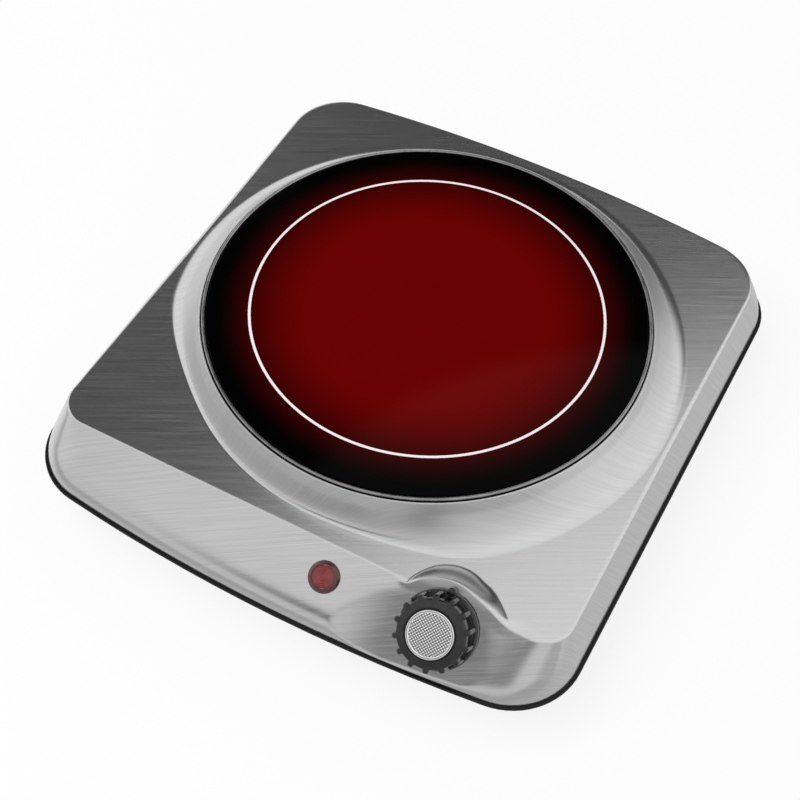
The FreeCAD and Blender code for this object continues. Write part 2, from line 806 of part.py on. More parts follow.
bed = turned("insulation_base", [
    ("0", "0"),
    (insulation_radius, "0"),
    (insulation_radius, "insulation_depth"),
    ("0", "insulation_depth"),
])
BED_FLOOR = DISH_FLOOR + value("dish_gauge")
bed.Placement = shift(y=GLASS_Y, z=BED_FLOOR)
head_pockets = [
    rod("heater_bolt_head_radius + hole_clearance", "2 * (heater_bolt_head_height + hole_clearance)",
        shift(x, y, BED_FLOOR - value("heater_bolt_head_height + hole_clearance")))
    for x, y in BOLT_PLACES
]
hand_in("insulation_base", pierced(bed, head_pockets))

ring_height = "heater_height - dish_gauge - insulation_depth - glass_gap"
wall_ring = turned("insulation_ring", [
    (heater_bore, "0"),
    (insulation_radius, "0"),
    (insulation_radius, ring_height),
    (heater_bore, ring_height),
])
BED_TOP = BED_FLOOR + value("insulation_depth")
wall_ring.Placement = shift(y=GLASS_Y, z=BED_TOP)
hand_in("insulation_ring", pierced(wall_ring, [
    rod("rod_radius + hole_clearance", f"{rod_length} + dish_gauge", rod_place),
]))


def ribbon_spiral():
    """A flat spiral of half circles: each half turn grows by half the pitch, with no kink."""
    half_width = value("ribbon_thickness / 2")
    half_step = value("ribbon_pitch / 2")
    inner = []
    outer = []
    radius = value("ribbon_start_radius")
    centre = 0.0
    for turn in range(2 * int(value("ribbon_turns"))):
        side = 1 if turn % 2 == 0 else -1
        for edges, offset in ((inner, -half_width), (outer, half_width)):
            reach = radius + offset
            start = Vector(centre + side * reach, 0, 0)
            top = Vector(centre, side * reach, 0)
            end = Vector(centre - side * reach, 0, 0)
            edges.append(Part.Arc(start, top, end).toShape())
        centre += side * half_step
        radius += half_step
    def ends(edges):
        return edges[0].firstVertex().Point, edges[-1].lastVertex().Point
    first_in, last_in = ends(inner)
    first_out, last_out = ends(outer)
    closing = [
        Part.LineSegment(first_in, first_out).toShape(),
        Part.LineSegment(last_out, last_in).toShape(),
    ]
    wire = Part.Wire(Part.__sortEdges__(inner + outer + closing))
    return Part.Face(wire).extrude(Vector(0, 0, value("ribbon_height")))


ribbon = pressed("heater_ribbon", ribbon_spiral())
ribbon.Placement = shift(y=GLASS_Y, z=BED_TOP)
hand_in("heater_ribbon", ribbon)

hand_in("limiter_rod", rod("rod_radius", rod_length, rod_place))

LIMITER_FACE = value("heater_radius + limiter_gap")
LIMITER_FLOOR = DISH_FLOOR + value("rod_height - limiter_drop")
limiter = block("limiter_length", "limiter_width", "limiter_height",
                shift(LIMITER_FACE, GLASS_Y - value("limiter_width / 2"), LIMITER_FLOOR))
hand_in("limiter_head", limiter)

tab = block("tab_thickness", "tab_width", "tab_length", shift())
LIMITER_TABS = [
    Vector(LIMITER_FACE + value("limiter_length / 2"), GLASS_Y + side * value("tab_spacing / 2"),
           LIMITER_FLOOR - value("tab_length"))
    for side in (-1, 1)
]
group("limiter_tabs", tab, [
    shift(place.x - value("tab_thickness / 2"), place.y - value("tab_width / 2"), place.z)
    for place in LIMITER_TABS
])

bridge_height = "pan_depth + rim_height + skirt_height + panel_drop + glass_rise - glass_thickness" \
    " - heater_height - pan_wall"
bridge = cut_from("heater_bridge", "XZ_Plane", [
    ("-bridge_half_length - bridge_flange", "0"),
    ("-bridge_half_length + bridge_gauge", "0"),
    ("-bridge_half_length + bridge_gauge", f"{bridge_height} - bridge_gauge"),
    ("bridge_half_length - bridge_gauge", f"{bridge_height} - bridge_gauge"),
    ("bridge_half_length - bridge_gauge", "0"),
    ("bridge_half_length + bridge_flange", "0"),
    ("bridge_half_length + bridge_flange", "bridge_gauge"),
    ("bridge_half_length", "bridge_gauge"),
    ("bridge_half_length", bridge_height),
    ("-bridge_half_length", bridge_height),
    ("-bridge_half_length", "bridge_gauge"),
    ("-bridge_half_length - bridge_flange", "bridge_gauge"),
], "bridge_width", middle=True)
bridge.Placement = shift(y=GLASS_Y, z=PAN_FLOOR)
bridge_holes = [
    rod("screw_radius + thread_clearance", "4 * bridge_gauge", shift(x, y, PAN_FLOOR - value("bridge_gauge")))
    for x, y in BRIDGE_PLACES
]
bridge_holes += [
    rod("heater_bolt_radius + hole_clearance", "4 * bridge_gauge",
        shift(x, y, DISH_FLOOR - 3 * value("bridge_gauge")))
    for x, y in BOLT_PLACES
]
hand_in("heater_bridge", pierced(bridge, bridge_holes))

bridge_screw = screw("bridge_screw_master", "pan_wall + bridge_gauge + screw_grip")
group("bridge_screws", bridge_screw, [shift(x, y, PAN_UNDERSIDE) for x, y in BRIDGE_PLACES])

heater_bolt = screw("heater_bolt_master", "dish_gauge + bridge_gauge + nut_height + screw_grip / 2",
                    "heater_bolt_radius", "heater_bolt_head_radius", "heater_bolt_head_height")
over = Vector(1, 0, 0)
group("heater_bolts", heater_bolt, [shift(x, y, BED_FLOOR, 180, over) for x, y in BOLT_PLACES])

nut_bore = "heater_bolt_radius + thread_clearance"
heater_nut = hex_nut("heater_nut_master", "nut_across_flats", "nut_height", nut_bore)
group("heater_nuts", heater_nut, [
    shift(x, y, DISH_FLOOR - value("bridge_gauge + nut_height")) for x, y in BOLT_PLACES
])


# Knob: a black moulded drum with grip ribs over a round skirt, a pointer at the skirt's edge, and a
# bright cap let into its face

knob = turned("knob_body", [
    ("spindle_radius + running_clearance + clip_gauge", "knob_gap + knob_cavity_depth"),
    ("knob_hub_radius + knob_wall", "knob_gap + knob_cavity_depth"),
    ("knob_skirt_radius - knob_wall", "knob_gap + knob_skirt_edge"),
    ("knob_skirt_radius - knob_wall", "knob_gap"),
    ("knob_skirt_radius", "knob_gap"),
    ("knob_skirt_radius", "knob_gap + knob_skirt_edge"),
    ("knob_drum_radius + rib_reach", "knob_drum_foot"),
    ("knob_drum_radius", "knob_drum_foot"),
    ("knob_drum_top_radius", "knob_drum_height"),
    ("cap_radius + cap_clearance + cap_rim_width", "knob_height"),
    ("cap_radius + cap_clearance", "knob_height"),
    ("cap_radius + cap_clearance", "knob_height - cap_recess"),
    ("0", "knob_height - cap_recess"),
    ("0", "spindle_reach + running_clearance"),
    ("spindle_radius + running_clearance + clip_gauge", "spindle_reach + running_clearance"),
])
rib_sketch = polygon(knob, "XY_Plane", [
    ("-rib_width / 2", "knob_drum_top_radius - rib_reach"),
    ("rib_width / 2", "knob_drum_top_radius - rib_reach"),
    ("rib_width / 2", "knob_drum_radius + rib_reach"),
    ("-rib_width / 2", "knob_drum_radius + rib_reach"),
])
rib_sketch.setExpression("AttachmentOffset.Base.z", bound("knob_drum_foot"))
rib_sketch.setExpression("AttachmentOffset.Rotation.Angle", bound("180 / rib_count"))
rib = knob.newObject("PartDesign::Pad", "grip_rib")
rib.Profile = rib_sketch
rib.setExpression("Length", bound("knob_drum_height - knob_drum_foot"))
ribs = knob.newObject("PartDesign::PolarPattern", "grip_ribs")
ribs.Originals = [rib]
ribs.Axis = (next(item for item in knob.Origin.OriginFeatures if item.Role == "Z_Axis"), [""])
ribs.Angle = 360
ribs.setExpression("Occurrences", bound("rib_count"))
knob.Tip = ribs
pointer_sketch = new_sketch(knob, "XY_Plane")
pointer_sketch.setExpression("AttachmentOffset.Base.z", bound("knob_gap"))
pointer_sketch.addGeometry(Part.Circle(Vector(0, value("knob_skirt_radius"), 0), Vector(0, 0, 1),
                                       value("pointer_radius")))
pin_centre = pointer_sketch.addConstraint(
    Sketcher.Constraint("DistanceY", -1, 1, 0, 3, value("knob_skirt_radius")))
pointer_sketch.setExpression(f"Constraints[{pin_centre}]", bound("knob_skirt_radius"))
pointer_sketch.addConstraint(Sketcher.Constraint("PointOnObject", 0, 3, -2))
pin_radius = pointer_sketch.addConstraint(Sketcher.Constraint("Radius", 0, value("pointer_radius")))
pointer_sketch.setExpression(f"Constraints[{pin_radius}]", bound("pointer_radius"))
pointer = knob.newObject("PartDesign::Pad", "pointer")
pointer.Profile = pointer_sketch
pointer.setExpression("Length", bound("pointer_height"))
knob.Placement = knob_frame
hand_in("knob_body", knob)

cap = turned("knob_cap", [
    ("0", "0"),
    ("cap_radius", "0"),
    ("cap_radius", "cap_recess + cap_stand"),
    ("cap_radius - cap_rim_width", "cap_recess + cap_stand"),
    ("cap_radius - cap_rim_width", "cap_recess + cap_stand / 2"),
    ("0", "cap_recess + cap_stand / 2"),
])
cap.Placement = knob_frame * shift(z=value("knob_height - cap_recess"))
hand_in("knob_cap", cap)

spindle_tail = "sheet_gauge + bracket_gap + bracket_gauge + spacer_height - spindle_end_gap"
spindle_length = f"{spindle_tail} + spindle_reach"
spindle_bar = rod("spindle_radius", spindle_length, knob_frame * shift(z=-value(spindle_tail)))
flat_length = "spindle_reach - knob_gap - knob_cavity_depth"
flat_corner = shift(-2 * value("spindle_radius"), value("spindle_radius - spindle_flat"),
                    value(f"spindle_reach - ({flat_length})"))
flat_cut = block("4 * spindle_radius", "2 * spindle_radius", f"2 * ({flat_length})", knob_frame * flat_corner)
hand_in("spindle", pierced(spindle_bar, [flat_cut]))

clip = turned("knob_clip", [
    ("spindle_radius + running_clearance / 2", "0"),
    ("spindle_radius + running_clearance / 2 + clip_gauge", "0"),
    ("spindle_radius + running_clearance / 2 + clip_gauge", "clip_length"),
    ("spindle_radius + running_clearance / 2", "clip_length"),
])
clip_slit = block("clip_gap", "2 * spindle_radius + 4 * clip_gauge", "3 * clip_length", shift(
    -value("clip_gap / 2"), 0, -value("clip_length")))
clip_open = pierced(clip, [clip_slit])
clip_open.Placement = knob_frame * shift(z=value("spindle_reach - clip_length"))
hand_in("knob_clip", clip_open)

RETAINER = -value("bracket_gap + sheet_gauge + bracket_gauge + bush_flange_thickness")
retainer = turned("spindle_retainer", [
    ("spindle_radius + running_clearance / 2", "0"),
    ("retainer_radius", "0"),
    ("retainer_radius", "retainer_gauge"),
    ("spindle_radius + running_clearance / 2", "retainer_gauge"),
])
retainer.Placement = knob_frame * shift(z=RETAINER - value("retainer_gauge + hole_clearance"))
hand_in("spindle_retainer", retainer)


# Thermostat: a bracket clamped behind the panel by a threaded bush, and a riveted stack of ceramic
# spacers that holds the adjusting blade, the contact blade and the bimetal strip

BRACKET_BACK = -value("sheet_gauge + bracket_gap + bracket_gauge")
bracket = cut_from("thermostat_bracket", "XY_Plane", [
    ("-stack_offset - stack_margin", "-bracket_width / 2"),
    ("bracket_reach", "-bracket_width / 2"),
    ("bracket_reach", "bracket_width / 2"),
    ("-stack_offset - stack_margin", "bracket_width / 2"),
], "bracket_gauge")
bracket_pierced = pierced(bracket, [
    rod("bush_radius + thread_clearance", "3 * bracket_gauge", shift(z=-value("bracket_gauge"))),
    rod("rivet_radius + thread_clearance", "3 * bracket_gauge",
        shift(-value("stack_offset"), 0, -value("bracket_gauge"))),
])
bracket_pierced.Placement = knob_frame * shift(z=BRACKET_BACK)
hand_in("thermostat_bracket", bracket_pierced)

bush_grip = "bush_flange_thickness + bracket_gauge + bracket_gap + sheet_gauge"
bush = turned("thermostat_bush", [
    ("spindle_radius + running_clearance", "0"),
    ("bush_flange_radius", "0"),
    ("bush_flange_radius", "bush_flange_thickness"),
    ("bush_radius", "bush_flange_thickness"),
    ("bush_radius", f"{bush_grip} + bush_stand"),
    ("spindle_radius + running_clearance", f"{bush_grip} + bush_stand"),
])
bush.Placement = knob_frame * shift(z=-value(bush_grip))
hand_in("thermostat_bush", bush)

bush_nut = hex_nut("bush_nut", "bush_nut_across_flats", "bush_nut_height", "bush_radius + thread_clearance")
bush_nut.Placement = knob_frame
hand_in("bush_nut", bush_nut)

spacer = turned("spacer_master", [
    ("rivet_radius + thread_clearance", "0"),
    ("spacer_radius", "0"),
    ("spacer_radius", "spacer_height"),
    ("rivet_radius + thread_clearance", "spacer_height"),
])


def blade(label, thickness, tail):
    """A flat strip through the stack: its free end past the spindle, its tail out for a wire."""
    start = f"-stack_offset - stack_margin - {tail}"
    strip = cut_from(label, "XY_Plane", [
        (start, "-blade_width / 2"),
        ("blade_reach", "-blade_width / 2"),
        ("blade_reach", "blade_width / 2"),
        (start, "blade_width / 2"),
    ], thickness)
    return pierced(strip, [rod("rivet_radius + thread_clearance", f"3 * {thickness}",
                               shift(-value("stack_offset"), 0, -value(thickness)))])


# The stack is built down from the bracket, one layer on the next
depth = BRACKET_BACK
spacer_places = []
for label, thickness, tail in (
    ("adjusting_blade", "blade_thickness", "blade_tail"),
    ("contact_blade", "blade_thickness", "blade_tail"),
    ("bimetal_strip", "bimetal_thickness", "thread_clearance"),
):
    depth -= value("spacer_height")
    spacer_places.append(knob_frame * shift(-value("stack_offset"), 0, depth))
    depth -= value(thickness)
    strip = blade(label, thickness, tail)
    strip.Placement = knob_frame * shift(z=depth)
    hand_in(label, strip)
group("ceramic_spacers", spacer, spacer_places)
STACK_FOOT = depth

rivet_length = "bracket_gauge + 3 * spacer_height + 2 * blade_thickness + bimetal_thickness"
rivet = turned("stack_rivet", [
    ("0", "-rivet_head_height"),
    ("rivet_head_radius", "-rivet_head_height"),
    ("rivet_head_radius", "0"),
    ("rivet_radius", "0"),
    ("rivet_radius", rivet_length),
    ("0", rivet_length),
])
rivet.Placement = knob_frame * shift(-value("stack_offset"), 0, STACK_FOOT)
hand_in("stack_rivet", rivet)

contact_gap = "spacer_height / 2 - hole_clearance"
contact = rod("contact_radius", contact_gap, shift())
upper_blade = BRACKET_BACK - value("spacer_height + blade_thickness")
lower_blade = upper_blade - value("spacer_height")
contact_x = value("blade_reach - contact_radius - hole_clearance")
group("contact_buttons", contact, [
    knob_frame * shift(contact_x, 0, upper_blade - value(contact_gap)),
    knob_frame * shift(contact_x, 0, lower_blade),
])


# Indicator lamp: a snap-in body with a bezel, a red lens, a neon bulb and a push-on clip behind

bezel = turned("lamp_bezel", [
    ("lens_radius - lamp_wall", "-lamp_body_length"),
    ("lamp_body_radius", "-lamp_body_length"),
    ("lamp_body_radius", "thread_clearance"),
    ("lamp_bezel_radius", "thread_clearance"),
    ("lamp_bezel_radius", "lamp_bezel_height * 0.6"),
    ("lamp_bezel_radius - lamp_bezel_height * 0.4", "lamp_bezel_height"),
    ("lens_radius + trim_gap", "lamp_bezel_height"),
    ("lens_radius + trim_gap", "lamp_bezel_height - lens_depth"),
    ("lens_radius - lamp_wall", "lamp_bezel_height - lens_depth"),
])
bezel.Placement = lamp_frame
hand_in("lamp_bezel", bezel)

lens = turned("lamp_lens", [
    ("0", "0"),
    ("lens_radius", "0"),
    ("lens_radius", "lens_depth"),
    ("lens_radius * 0.6", "lens_depth + lens_crown * 0.7"),
    ("0", "lens_depth + lens_crown"),
])
lens.Placement = lamp_frame * shift(z=value("lamp_bezel_height - lens_depth"))
hand_in("lamp_lens", lens)

bulb = turned("neon_bulb", [
    ("0", "0"),
    ("bulb_radius", "0"),
    ("bulb_radius", "bulb_length - bulb_radius"),
    ("bulb_radius * 0.7", "bulb_length - bulb_radius * 0.3"),
    ("0", "bulb_length"),
])
bulb_foot = value("lamp_bezel_height - lens_depth - bulb_length - trim_gap")
bulb.Placement = lamp_frame * shift(z=bulb_foot)
hand_in("neon_bulb", bulb)

lamp_clip = turned("lamp_clip", [
    ("lamp_body_radius + thread_clearance", "0"),
    ("lamp_clip_radius", "0"),
    ("lamp_clip_radius", "lamp_clip_gauge"),
    ("lamp_body_radius + thread_clearance", "lamp_clip_gauge"),
])
lamp_clip.Placement = lamp_frame * shift(z=-value("sheet_gauge + bracket_gap + lamp_clip_gauge"))
hand_in("lamp_clip", lamp_clip)


# Mains inlet: a rubber grommet in the cover's back wall, and a terminal block on the pan behind it

groove = "sheet_gauge + inlet_slack"
grommet = turned("inlet_grommet", [
    ("inlet_bore", f"-({groove}) / 2 - inlet_flange_thickness"),
    ("inlet_flange_radius", f"-({groove}) / 2 - inlet_flange_thickness"),
    ("inlet_flange_radius", f"-({groove}) / 2"),
    ("inlet_neck_radius", f"-({groove}) / 2"),
    ("inlet_neck_radius", f"({groove}) / 2"),
    ("inlet_flange_radius", f"({groove}) / 2"),
    ("inlet_flange_radius", f"({groove}) / 2 + inlet_flange_thickness"),
    ("inlet_bore", f"({groove}) / 2 + inlet_flange_thickness"),
])
grommet.Placement = inlet_frame() * shift(z=-value("sheet_gauge / 2"))
hand_in("inlet_grommet", grommet)

block_x, block_y = BLOCK_PLACE
housing = block("block_length", "block_width", "block_height", shift(
    block_x - value("block_length / 2"), block_y - value("block_width / 2"), PAN_FLOOR))
POLE_LEVEL = PAN_FLOOR + value("block_height / 2")
POLES = [Vector(block_x + pole * value("pole_pitch"), block_y, POLE_LEVEL) for pole in (-1, 0, 1)]
along_y = Rotation(Vector(1, 0, 0), -90)
in_front = Vector(0, -value("block_width"), 0)
pole_holes = [rod("pole_radius", "2 * block_width", Placement(pole + in_front, along_y)) for pole in POLES]
clamp_holes = [
    rod("clamp_radius + thread_clearance", "block_height", shift(pole.x, pole.y, pole.z)) for pole in POLES
]
fixing = [rod("screw_radius + thread_clearance", "2 * screw_grip",
              shift(block_x, block_y, PAN_FLOOR - value("screw_grip")))]
hand_in("terminal_block", pierced(housing, pole_holes + clamp_holes + fixing))

clamp = rod("clamp_radius", "clamp_length", shift())
group("terminal_clamps", clamp, [
    shift(pole.x, pole.y, PAN_FLOOR + value("block_height - clamp_length")) for pole in POLES
])

block_screw = screw("block_screw", "pan_wall + screw_grip - hole_clearance")
block_screw.Placement = shift(block_x, block_y, PAN_UNDERSIDE)
hand_in("block_screw", block_screw)


# Wires: straight runs joined by arcs that touch both runs

def rounded_path(points):
    """Lines and tangent arcs through points; each arc takes 0.45 of the shorter run beside it."""
    edges = []
    start = points[0]
    for before, corner, after in zip(points, points[1:], points[2:]):
        back = before - corner
        ahead = after - corner
        reach = 0.45 * min(back.Length, ahead.Length)
        back.normalize()
        ahead.normalize()
        half = back.getAngle(ahead) / 2
        enter = corner + back * reach
        leave = corner + ahead * reach
        radius = reach * tan(half)
        bisector = back + ahead
        bisector.normalize()
        middle = corner + bisector * (radius / sin(half) - radius)
        edges.append(Part.LineSegment(start, enter).toShape())
        edges.append(Part.Arc(enter, middle, leave).toShape())
        start = leave
    edges.append(Part.LineSegment(start, points[-1]).toShape())
    return Part.Wire(edges)


def wire_solid(points, radius):
    path = rounded_path(points)
    heading = points[1] - points[0]
    section = Part.Wire([Part.Circle(points[0], heading, radius).toShape()])
    return path.makePipeShell([section], True, False)


def wire(label, routes, radius):
    solids = [wire_solid(points, radius) for points in routes]
    return hand_in(label, pressed(label, solids[0] if len(solids) == 1 else Part.makeCompound(solids)))


WIRE_RADIUS = value("wire_radius")
LEAD_RADIUS = value("lead_radius")
RUN = value("wire_run")
LANE = value("bridge_half_length + bridge_flange + wire_lane")
BLOCK_FRONT = block_y - value("block_width / 2")
TAIL = -value("stack_offset + stack_margin + blade_tail")
pole_entry = [Vector(pole.x, BLOCK_FRONT + value("block_width / 4"), pole.z) for pole in POLES]


def floor(x, y, radius=WIRE_RADIUS):
    """A point of a wire that lies on the pan's floor."""
    return Vector(x, y, PAN_FLOOR + radius + value("hole_clearance"))


def tail(blade_level, beyond=0.0):
    """A point in line with a blade's tail: the middle of its end face, or straight beyond it."""
    return knob_frame.multVec(Vector(TAIL - beyond, 0, blade_level))


LIVE_LEVEL = upper_blade + value("blade_thickness / 2")
LOAD_LEVEL = lower_blade - value("blade_thickness / 2")
load_tab, neutral_tab = LIMITER_TABS
beside_wire = Vector(0, LEAD_RADIUS + value("hole_clearance"), 0)
beside_lead = Vector(0, -WIRE_RADIUS, 0)

wire("live_wire", [[
    pole_entry[0],
    pole_entry[0] + Vector(0, -2 * RUN, 0),
    floor(-7.5 * RUN, BLOCK_FRONT - 4 * RUN),
    floor(-LANE, GLASS_Y + 3 * RUN),
    floor(-LANE, GLASS_Y - 4.5 * RUN),
    floor(-6 * RUN, CREASE_Y + 3 * RUN),
    floor(-RUN / 2, CREASE_Y + 0.8 * RUN),
    floor(2.5 * RUN, CREASE_Y + 0.2 * RUN),
    tail(LIVE_LEVEL, RUN) + Vector(0, 0.4 * RUN, -1.8 * RUN),
    tail(LIVE_LEVEL, 0.75 * RUN),
    tail(LIVE_LEVEL),
]], WIRE_RADIUS)
wire("load_wire", [[
    tail(LOAD_LEVEL),
    tail(LOAD_LEVEL, RUN / 2),
    tail(LOAD_LEVEL, 0.4 * RUN) + Vector(0, 1.4 * RUN, -1.2 * RUN),
    floor(5.2 * RUN, CREASE_Y + 2.5 * RUN),
    floor(LANE - 1.8 * RUN, GLASS_Y - 6.2 * RUN),
    floor(LANE + RUN, GLASS_Y - 3.4 * RUN),
    load_tab + beside_lead + Vector(0, 0, -1.1 * RUN),
    load_tab + beside_lead,
]], WIRE_RADIUS)
wire("neutral_wire", [[
    pole_entry[1],
    pole_entry[1] + Vector(0, -2 * RUN, 0),
    floor(2.5 * RUN, BLOCK_FRONT - 2.8 * RUN),
    floor(LANE - 1.8 * RUN, BLOCK_FRONT - 4.2 * RUN),
    floor(LANE + RUN, GLASS_Y + 3.6 * RUN),
    neutral_tab - beside_lead + Vector(0, 0, -1.1 * RUN),
    neutral_tab - beside_lead,
]], WIRE_RADIUS)
earth_x, earth_y = FOOT_PLACES[3]
earth_end = Vector(earth_x + value("leg_reach"), earth_y, PAN_FLOOR + 2 * RUN)
wire("earth_wire", [[
    pole_entry[2],
    pole_entry[2] + Vector(0, -RUN, 0),
    floor(pole_entry[2].x + 2.8 * RUN, BLOCK_FRONT - RUN / 2),
    floor(earth_x - 5 * RUN, earth_y - RUN / 4),
    earth_end + Vector(-2 * RUN, 0, -RUN / 2),
    earth_end + Vector(-0.9 * RUN, 0, 0),
    earth_end,
]], WIRE_RADIUS)


def lamp_exit(across):
    """Where a lead leaves the bulb's foot, and a point straight behind the lamp body."""
    foot_point = lamp_frame.multVec(Vector(across, 0, bulb_foot))
    behind = lamp_frame.multVec(Vector(across, 0, -value("lamp_body_length + wire_run")))
    return foot_point, behind


wire("lamp_leads", [
    [
        *lamp_exit(value("bulb_radius / 2")),
        floor(3.5 * RUN, CREASE_Y + 4 * RUN, LEAD_RADIUS),
        floor(LANE - 2.2 * RUN, GLASS_Y - 5.5 * RUN, LEAD_RADIUS),
        floor(LANE, GLASS_Y - 3 * RUN, LEAD_RADIUS),
        load_tab + beside_wire + Vector(-RUN / 4, -RUN / 4, -1.8 * RUN),
        load_tab + beside_wire + Vector(0, 0, -0.8 * RUN),
        load_tab + beside_wire,
    ],
    [
        *lamp_exit(-value("bulb_radius / 2")),
        floor(2.2 * RUN, CREASE_Y + 5 * RUN, LEAD_RADIUS),
        floor(LANE - 3.2 * RUN, GLASS_Y - 4.8 * RUN, LEAD_RADIUS),
        floor(LANE - 0.4 * RUN, GLASS_Y - 2.2 * RUN, LEAD_RADIUS),
        neutral_tab - beside_wire + Vector(-RUN / 2, -0.8 * RUN, -1.8 * RUN),
        neutral_tab - beside_wire + Vector(0, 0, -0.8 * RUN),
        neutral_tab - beside_wire,
    ],
], LEAD_RADIUS)

problems = []
doc.recompute()
for item in doc.Objects:
    if "Invalid" in item.State or "Error" in item.State:
        problems.append(f"{item.Name} is {item.State}")
for label, piece in pieces.items():
    if piece.Shape.isNull() or not piece.Shape.isValid():
        problems.append(f"{label} has no valid shape")
if problems:
    raise RuntimeError("; ".join(problems))

os.makedirs("parts", exist_ok=True)
for label, piece in pieces.items():
    piece.Shape.exportStep(f"parts/{label}.step")
print(len(pieces), "nodes")
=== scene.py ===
import json

import bpy
import numpy as np
from mathutils import Matrix, Vector


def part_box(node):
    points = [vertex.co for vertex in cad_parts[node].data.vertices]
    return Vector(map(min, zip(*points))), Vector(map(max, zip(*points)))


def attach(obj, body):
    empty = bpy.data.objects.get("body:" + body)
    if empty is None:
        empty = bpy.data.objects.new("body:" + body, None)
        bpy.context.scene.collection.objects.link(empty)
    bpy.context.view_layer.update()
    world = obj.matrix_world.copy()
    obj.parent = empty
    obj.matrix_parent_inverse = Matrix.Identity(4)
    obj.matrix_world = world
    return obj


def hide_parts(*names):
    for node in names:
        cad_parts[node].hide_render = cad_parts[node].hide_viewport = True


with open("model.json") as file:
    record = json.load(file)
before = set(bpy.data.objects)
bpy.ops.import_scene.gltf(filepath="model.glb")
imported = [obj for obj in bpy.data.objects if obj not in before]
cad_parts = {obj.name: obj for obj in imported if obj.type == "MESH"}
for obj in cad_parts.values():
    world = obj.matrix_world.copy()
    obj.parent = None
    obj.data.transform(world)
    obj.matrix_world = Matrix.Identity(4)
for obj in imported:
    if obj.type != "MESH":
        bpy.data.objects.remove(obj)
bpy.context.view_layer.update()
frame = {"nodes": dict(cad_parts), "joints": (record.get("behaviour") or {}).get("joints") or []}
nodes = frame["nodes"]


# Base pan. A black polypropylene tray, moulded in one shot, with a round-nosed rim that the cover stands on
# and two rows of vent slots in its floor. Its faces carry a fine spark-eroded grain.

class Signal:
    """One value of a shader: a node's output, on which Python's operators add Math nodes."""

    def __init__(self, tree, socket=None):
        self.tree = tree
        self.socket = socket

    def node(self, kind, settings=None, inputs=None, output=0):
        """Add a node: its settings first, then a number or a Signal for each socket."""
        made = self.tree.nodes.new(kind)
        for name, setting in (settings or {}).items():
            setattr(made, name, setting)
        for name, source in (inputs or {}).items():
            if isinstance(source, Signal):
                self.tree.links.new(source.socket, made.inputs[name])
            else:
                made.inputs[name].default_value = source
        return Signal(self.tree, made.outputs[output] if made.outputs else None)

    def math(self, operation, *others):
        """A Math node on this value and the others."""
        return self.node("ShaderNodeMath", {"operation": operation}, dict(enumerate((self, *others))))

    def __add__(self, other):
        return self.math("ADD", other)

    __radd__ = __add__

    def __sub__(self, other):
        return self.math("SUBTRACT", other)

    def __rsub__(self, other):
        return self.node("ShaderNodeMath", {"operation": "SUBTRACT"}, {0: other, 1: self})

    def __mul__(self, other):
        return self.math("MULTIPLY", other)

    __rmul__ = __mul__

    def feeds(self, shader, socket):
        """Link this value to a shader's socket."""
        self.tree.links.new(self.socket, shader.inputs[socket])


def new_finish(name, fixed):
    """A new material whose Principled shader has its fixed sockets set, and a Signal to start from."""
    material = bpy.data.materials.new(name)
    material.use_nodes = True
    shader = material.node_tree.nodes["Principled BSDF"]
    for socket, number in fixed.items():
        shader.inputs[socket].default_value = number
    return material, shader, Signal(material.node_tree)


def mixed(share, low, high):
    """A colour that goes from low to high as share goes from 0 to 1."""
    def with_alpha(colour):
        """A plain colour gets an alpha of 1."""
        return colour if isinstance(colour, Signal) else (*colour, 1)
    sockets = {0: share, 6: with_alpha(low), 7: with_alpha(high)}
    return share.node("ShaderNodeMix", {"data_type": "RGBA"}, sockets, output=2)


def stepped(signal, start, end):
    """A smooth step from 0 at start to 1 at end."""
    sockets = {"Value": signal, "From Min": start, "From Max": end}
    return signal.node("ShaderNodeMapRange", {"interpolation_type": "SMOOTHSTEP"}, sockets)


def bumped(height, depth):
    """A normal tilted by a relief that is as deep as given where the height goes from 0 to 1."""
    return height.node("ShaderNodeBump", None, {"Height": height, "Distance": depth, "Strength": 1.0})


def stock_finish(name, dark, light, grain, rough, bump=0.0, fixed=None):
    """A finish for stock material: tone and roughness drift with a noise of grain cells per metre."""
    material, shader, start = new_finish(name, fixed or {})
    spot = start.node("ShaderNodeTexCoord", output="Object")
    noise = spot.node("ShaderNodeTexNoise", None, {"Vector": spot, "Scale": grain, "Detail": 4.0})
    drift = stepped(noise, 0.3, 0.7)
    mixed(drift, dark, light).feeds(shader, "Base Color")
    (rough[0] + (rough[1] - rough[0]) * drift).feeds(shader, "Roughness")
    if bump:
        bumped(noise, bump).feeds(shader, "Normal")
    return material


def paint(material, *names):
    """Give a finish to CAD pieces that keep their own shape."""
    for name in names:
        for slot in nodes[name].material_slots:
            slot.material = material


pan_black = stock_finish("pan_black", (0.003, 0.003, 0.003), (0.006, 0.006, 0.006), 900, (0.30, 0.42),
                         0.00004, fixed={"Specular IOR Level": 0.25})
paint(pan_black, "base_pan")


# Rubber feet and the screws and legs behind them. Each foot is a moulded rubber buffer, held by a plated
# screw that runs up through the pan into a folded steel leg under the cover.

foot_rubber = stock_finish("foot_rubber", (0.010, 0.010, 0.010), (0.020, 0.020, 0.019), 500, (0.70, 0.85),
                           0.00006)
paint(foot_rubber, "rubber_feet")
plated_steel = stock_finish("plated_steel", (0.42, 0.42, 0.41), (0.60, 0.60, 0.58), 160, (0.24, 0.42),
                            0.00001, fixed={"Metallic": 1.0})
paint(plated_steel, "base_screws", "mounting_legs", "bridge_screws", "heater_bolts", "heater_nuts",
      "heater_bridge", "limiter_tabs", "thermostat_bracket", "block_screw", "lamp_clip", "knob_clip",
      "spindle_retainer")


# Mains entry and wiring. A nylon terminal block with brass clamps stands on the pan's floor; glass-fibre and
# silicone wires, each in its own colour, run from it to the thermostat, the heater and the lamp.

